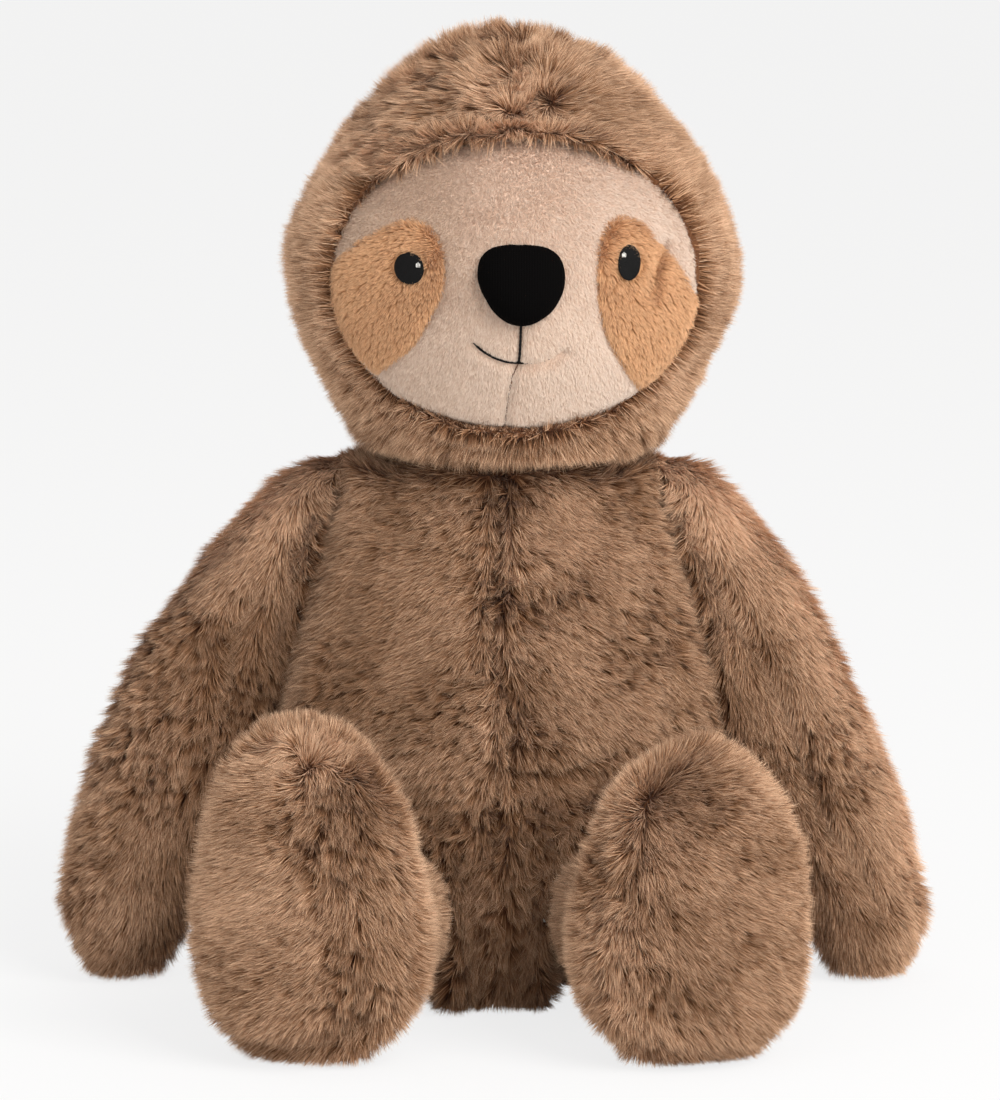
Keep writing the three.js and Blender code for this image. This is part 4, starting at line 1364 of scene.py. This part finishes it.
def face_nap(place, normal):
    """Down, with no hair under the patches and the nose, and short beside the mouth's threads."""
    across, rise, _, _ = on_face(place)
    direction = vectors(across * 0.01, 0, rise * 0.003 - 0.9) + drift(place, 16, 12) * 0.5
    even = np.ones(len(place))
    thick = np.ones(len(place))
    for outline in (*PATCHES.values(), NOSE):
        thick[inside(across, rise, outline, -1.0)] = 0
    near_mouth = np.minimum(from_line(across, rise, SMILE), from_line(across, rise, PHILTRUM))
    pile = FUZZ_PILE * (1 - 0.8 * bump(near_mouth, 0.9))
    # painted light on the toy's left half of the face, and painted shade on its right half, most on
    # the upper part, where the hood's hair shades it
    shade = 0.3 * ramp(across, 0, 40) - 0.5 * ramp(-across, 0, 35) * ramp(rise, -25, 20)
    shade -= 0.15 * ramp(-across, 10, 30)
    return lying(direction, normal, PLUSH_LEAN * even), pile, PLUSH_RUFFLE * even, thick, shade


def patch_nap(side):
    """Down and out from the eye, which sits in a bare round."""
    def nap(place, normal):
        across, rise, _, _ = on_face(place)
        out = vectors(across - side * 36, 0, rise - 4) * 0.05
        direction = out + np.array([side * 0.25, 0, -0.75]) + drift(place, 14, 13) * 0.5
        even = np.ones(len(place))
        thick = (np.hypot(across - side * 38, rise - 7) > EYE_SOCKET).astype(float)
        return (lying(direction, normal, PLUSH_LEAN * even), PATCH_PILE * even,
                PLUSH_RUFFLE * even, thick, 0 * even)
    return nap


# %% Face panel and eye patches
UNDER_HOOD = 1.08  # the panel's size as a share of the part that shows, so its edge is covered

seed += 2
face_sheet = laid(disc(110), (0, 0), oval(UNDER_HOOD * FACE_HALF_WIDTH, UNDER_HOOD * FACE_HALF_HEIGHT),
                  lambda out: 0 * out)
face = dressed(grow("face_plush_panel", new_object("cloth", face_sheet), face_nap, FUZZ, seed,
                    FACE_PLUSH), "head", "face_plush", "face_panel")

for side_name, side in SIDES.items():
    seed += 2
    outline = PATCHES[side_name]
    middle = np.mean(outline, axis=0)
    sheet = laid(disc(44), middle, reach_of(outline, middle),
                 lambda out: 0.7 + 0.5 * (1 - out ** 2) - 1.6 * ramp(out, 0.93, 1.0))
    patch = grow(f"eye_patch_{side_name}_plush", new_object("cloth", sheet), patch_nap(side),
                 SHORT_FUR, seed, PATCH_PLUSH)
    dressed(patch, "head", "patch_plush", f"eye_patch_{side_name}")

# %% [markdown]
# ## Eyes, nose and mouth
#
# The eyes are satin stitch: many parallel threads that make a slightly raised, ridged disc, with a
# few white stitches for the glint. The nose is a padded cushion of knit, broad at the top and
# narrow below. The mouth and the line above it are single threads sunk into the plush.

# %% Eyes
EYES = {  # the middle, half the width and height, and the glint's place, on the face
    "right": ((-37.4, 6.4), (5.1, 5.5), (-34.4, 7.9)),
    "left": ((38.2, 8.1), (4.1, 6.2), (36.2, 11.0)),
}
STITCH_PITCH, STITCH_SLANT, STITCH_HEIGHT = 0.75, 0.35, 0.12  # of the satin's ridges, millimetres
GLINT_STITCH = (0.3, 0.35, 1.0)  # half the size of one white stitch, in millimetres
GLINT_LIFT, GLINT_STEP = 3.7, 0.5

for side_name, (middle, half, glint) in EYES.items():
    sheet = laid(disc(36), middle, oval(*half),
                 lambda out: 2.6 + 0.9 * np.sqrt(np.clip(1 - out ** 2, 0, 1)) - 1.2 * (out > 0.99))
    for vert in sheet.verts:
        ridge = (vert.co.z + STITCH_SLANT * vert.co.x) / MM * 2 * math.pi / STITCH_PITCH
        vert.co.y -= STITCH_HEIGHT * MM * math.sin(ridge)
    eye = thickened(new_object(f"eye_{side_name}_satin", sheet, BLACK_THREAD), CLOTH_WALL)
    dressed(smooth_faces(eye), "head", "black_thread", f"eye_{side_name}")
    stitches = bmesh.new()
    for step in (-1, 0, 1):
        made = bmesh.ops.create_uvsphere(stitches, u_segments=10, v_segments=8, radius=1)
        across = np.array([glint[0] + step * GLINT_STEP])
        rise = np.array([glint[1] - 0.15 * abs(step)])
        stitch_place = Vector(face_place(across, rise, GLINT_LIFT)[0]) * MM
        wide, deep, tall = GLINT_STITCH
        tall -= 0.25 * abs(step)
        for vert in made["verts"]:
            vert.co = Vector((vert.co.x * wide, vert.co.y * deep, vert.co.z * tall)) * MM
            vert.co += stitch_place
    dressed(new_object(f"eye_glint_{side_name}_stitches", stitches, WHITE_THREAD), "head",
            "white_thread", f"eye_glint_{side_name}")
print("eyes made, each with three white stitches")

# %% Nose: a ball pressed into the outline, its back half nearly flat
NOSE_MIDDLE = np.array([0.5, 2.5])
NOSE_CROWN, NOSE_BACK = 9.5, 2.5  # how far it stands out and how far it goes in, in millimetres


def bare_depth(across, rise):
    """The face's depth without its seams, at one place."""
    return float(face_depth(np.array([across]), np.array([rise]), False)[0])


nose_reach = reach_of(NOSE, NOSE_MIDDLE)
cushion = bmesh.new()
bmesh.ops.create_uvsphere(cushion, u_segments=56, v_segments=36, radius=1)
for vert in cushion.verts:
    x, z, out = vert.co
    angle = math.atan2(z, x)
    reach = float(nose_reach(angle)) * math.hypot(x, z)
    across = NOSE_MIDDLE[0] + reach * math.cos(angle)
    rise = NOSE_MIDDLE[1] + reach * math.sin(angle)
    crown = NOSE_CROWN * out ** 0.8 if out > 0 else NOSE_BACK * out
    depth = 0.5 * (bare_depth(NOSE_MIDDLE[0], rise) + bare_depth(across, rise)) - crown
    local = np.array([[across + FACE_SIDE, depth, rise + FACE_MIDDLE]])
    vert.co = Vector(out_of(HEAD_FRAME, local)[0]) * MM
bmesh.ops.recalc_face_normals(cushion, faces=cushion.faces[:])
nose = smooth_faces(new_object("nose_knit_cushion", cushion, BLACK_KNIT))
dressed(nose, "head", "black_knit", "nose_cover", "nose_padding")
print(nose.name, triangles_of(nose), "triangles")


# %% Mouth and chin threads
def thread(name, line, radius, lift, material, taper=0.35):
    """A round thread along a line on the face; taper is the share of its width at the ends."""
    line = np.array(line, float)
    steps = np.linspace(0, len(line) - 1, 8 * len(line))
    across, rise = (np.interp(steps, range(len(line)), column) for column in line.T)
    for values in (across, rise):
        values[2:-2] = np.convolve(values, np.ones(5) / 5, "valid")
    curve = bpy.data.curves.new(name, "CURVE")
    curve.dimensions = "3D"
    curve.bevel_depth, curve.bevel_resolution, curve.use_fill_caps = radius * MM, 2, True
    spline = curve.splines.new("POLY")
    places = face_place(across, rise, lift(across)) * MM
    spline.points.add(len(places) - 1)
    for index, (point, place) in enumerate(zip(spline.points, places)):
        point.co = (*place, 1)
        end = min(index, len(places) - 1 - index) / len(places)
        point.radius = min(1, taper + 8 * end) * (1 + 0.12 * math.sin(index * 1.9))
    path = linked(name + "_path", curve)
    mesh = worked_mesh(path)
    bpy.data.objects.remove(path)
    mesh.materials.clear()
    mesh.materials.append(material)
    return linked(name, mesh)


smile = thread("smile_stitch", SMILE[:8], 0.42, lambda across: 0.9 - 1.3 * ramp(across, 0, 3),
               BLACK_THREAD)
dressed(smile, "head", "black_thread", "smile_thread")
philtrum = thread("philtrum_stitch", PHILTRUM, 0.45, lambda across: 1.0 + 0 * across,
                  BLACK_THREAD, 0.9)
dressed(philtrum, "head", "black_thread", "philtrum_thread")
chin = thread("chin_seam_stitch", CHIN_SEAM[:5], 0.3, lambda across: 0.5 + 0 * across,
              SEAM_THREAD)
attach(chin, "head")
print("threads:", smile.name, philtrum.name, chin.name)

# %% [markdown]
# The closing thread round the neck is a CAD solid whose shape is right, so it stays and only takes
# the thread's material.

# %% The neck's closing thread
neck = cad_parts["neck_stitch"]
neck.data.materials.clear()
neck.data.materials.append(SEAM_THREAD)

# %% [markdown]
# ## Floor, light and camera
#
# The photograph has a white ground and soft light from the upper right. The floor is pale and
# mostly shows as white to the camera, to gloss and to glass, but keeps a faint shadow, so the toy
# stands on something. Only the floor glows, and no more light falls on the toy for it.


# %% Camera
def faced(made, place, aim):
    """Puts an object at a place, looking at another."""
    made.location = place
    made.rotation_mode = "QUATERNION"
    made.rotation_quaternion = (aim - made.location).to_track_quat("-Z", "Y")
    return made


CAMERA_AIM, CAMERA_AWAY, CAMERA_TILT = Vector((0, 0, 0.1588)), 1.728, 9 * DEGREE
backwards = Vector((0, -math.cos(CAMERA_TILT), math.sin(CAMERA_TILT)))
camera = linked("camera", bpy.data.cameras.new("camera"))
bpy.context.scene.camera = camera
camera.data.lens, camera.data.sensor_width = 157.1, 36
camera.data.clip_start, camera.data.clip_end = 0.1, 100
faced(camera, CAMERA_AIM + backwards * CAMERA_AWAY, CAMERA_AIM)
print("camera at", [round(c, 3) for c in camera.location])

# %% Floor
FLOOR_GLOW = 0.8  # share of the white glow in what the camera sees of the floor
FLOOR_HALF, FLOOR_DROP = 30, 0.0005  # metres

ground = bmesh.new()
bmesh.ops.create_grid(ground, x_segments=1, y_segments=1, size=FLOOR_HALF)
ground_material = bpy.data.materials.new("floor")
ground_material.use_nodes = True
ground_tree = ground_material.node_tree
ground_surface = ground_tree.nodes["Principled BSDF"]
ground_surface.inputs["Base Color"].default_value = (0.9, 0.9, 0.9, 1)
ground_surface.inputs["Roughness"].default_value = 0.9
glow = add(ground_tree, "ShaderNodeEmission", None, {"Color": (1, 1, 1, 1), "Strength": 1.0})
rays = ground_tree.nodes.new("ShaderNodeLightPath")
seen = Wire(ground_tree, rays.outputs["Is Camera Ray"])
for kind in ("Is Glossy Ray", "Is Transmission Ray"):
    seen = seen + Wire(ground_tree, rays.outputs[kind])
both = add(ground_tree, "ShaderNodeMixShader", None,
           {0: seen * FLOOR_GLOW, 1: Wire(ground_tree, ground_surface.outputs[0]), 2: glow})
ground_tree.links.new(both.socket, ground_tree.nodes["Material Output"].inputs["Surface"])
floor = new_object("floor", ground, ground_material)
floor.location.z = -FLOOR_DROP
floor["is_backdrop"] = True
print("floor of", 2 * FLOOR_HALF, "metres")

# %% Light
world = bpy.data.worlds.new("studio")
bpy.context.scene.world = world
world.use_nodes = True
sky = world.node_tree.nodes["Background"]
sky.inputs["Color"].default_value = (1.0, 0.985, 0.97, 1)
sky.inputs["Strength"].default_value = 0.5


def lamp(name, place, size, power, tint):
    """A square lamp that looks at the toy's middle; size in metres, power in watts."""
    data = bpy.data.lights.new(name, "AREA")
    data.shape, data.size, data.energy, data.color = "SQUARE", size, power, tint
    faced(linked(name, data), place, Vector((0, 0, 0.2)))


lamp("key", Vector((1.15, -1.4, 1.4)), 1.3, 46, (1.0, 0.975, 0.95))
lamp("fill", Vector((-1.1, -1.7, 0.6)), 1.4, 9, (0.98, 0.99, 1.0))
bpy.context.scene.view_settings.view_transform = "Standard"
print("stage set")

# %% Sizes of the pieces
bpy.data.objects.remove(BLADE)
counts = {p.name: triangles_of(p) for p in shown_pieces() if p.type == "MESH"}
print(len(counts), "pieces,", sum(counts.values()), "triangles, at most", max(counts.values()))
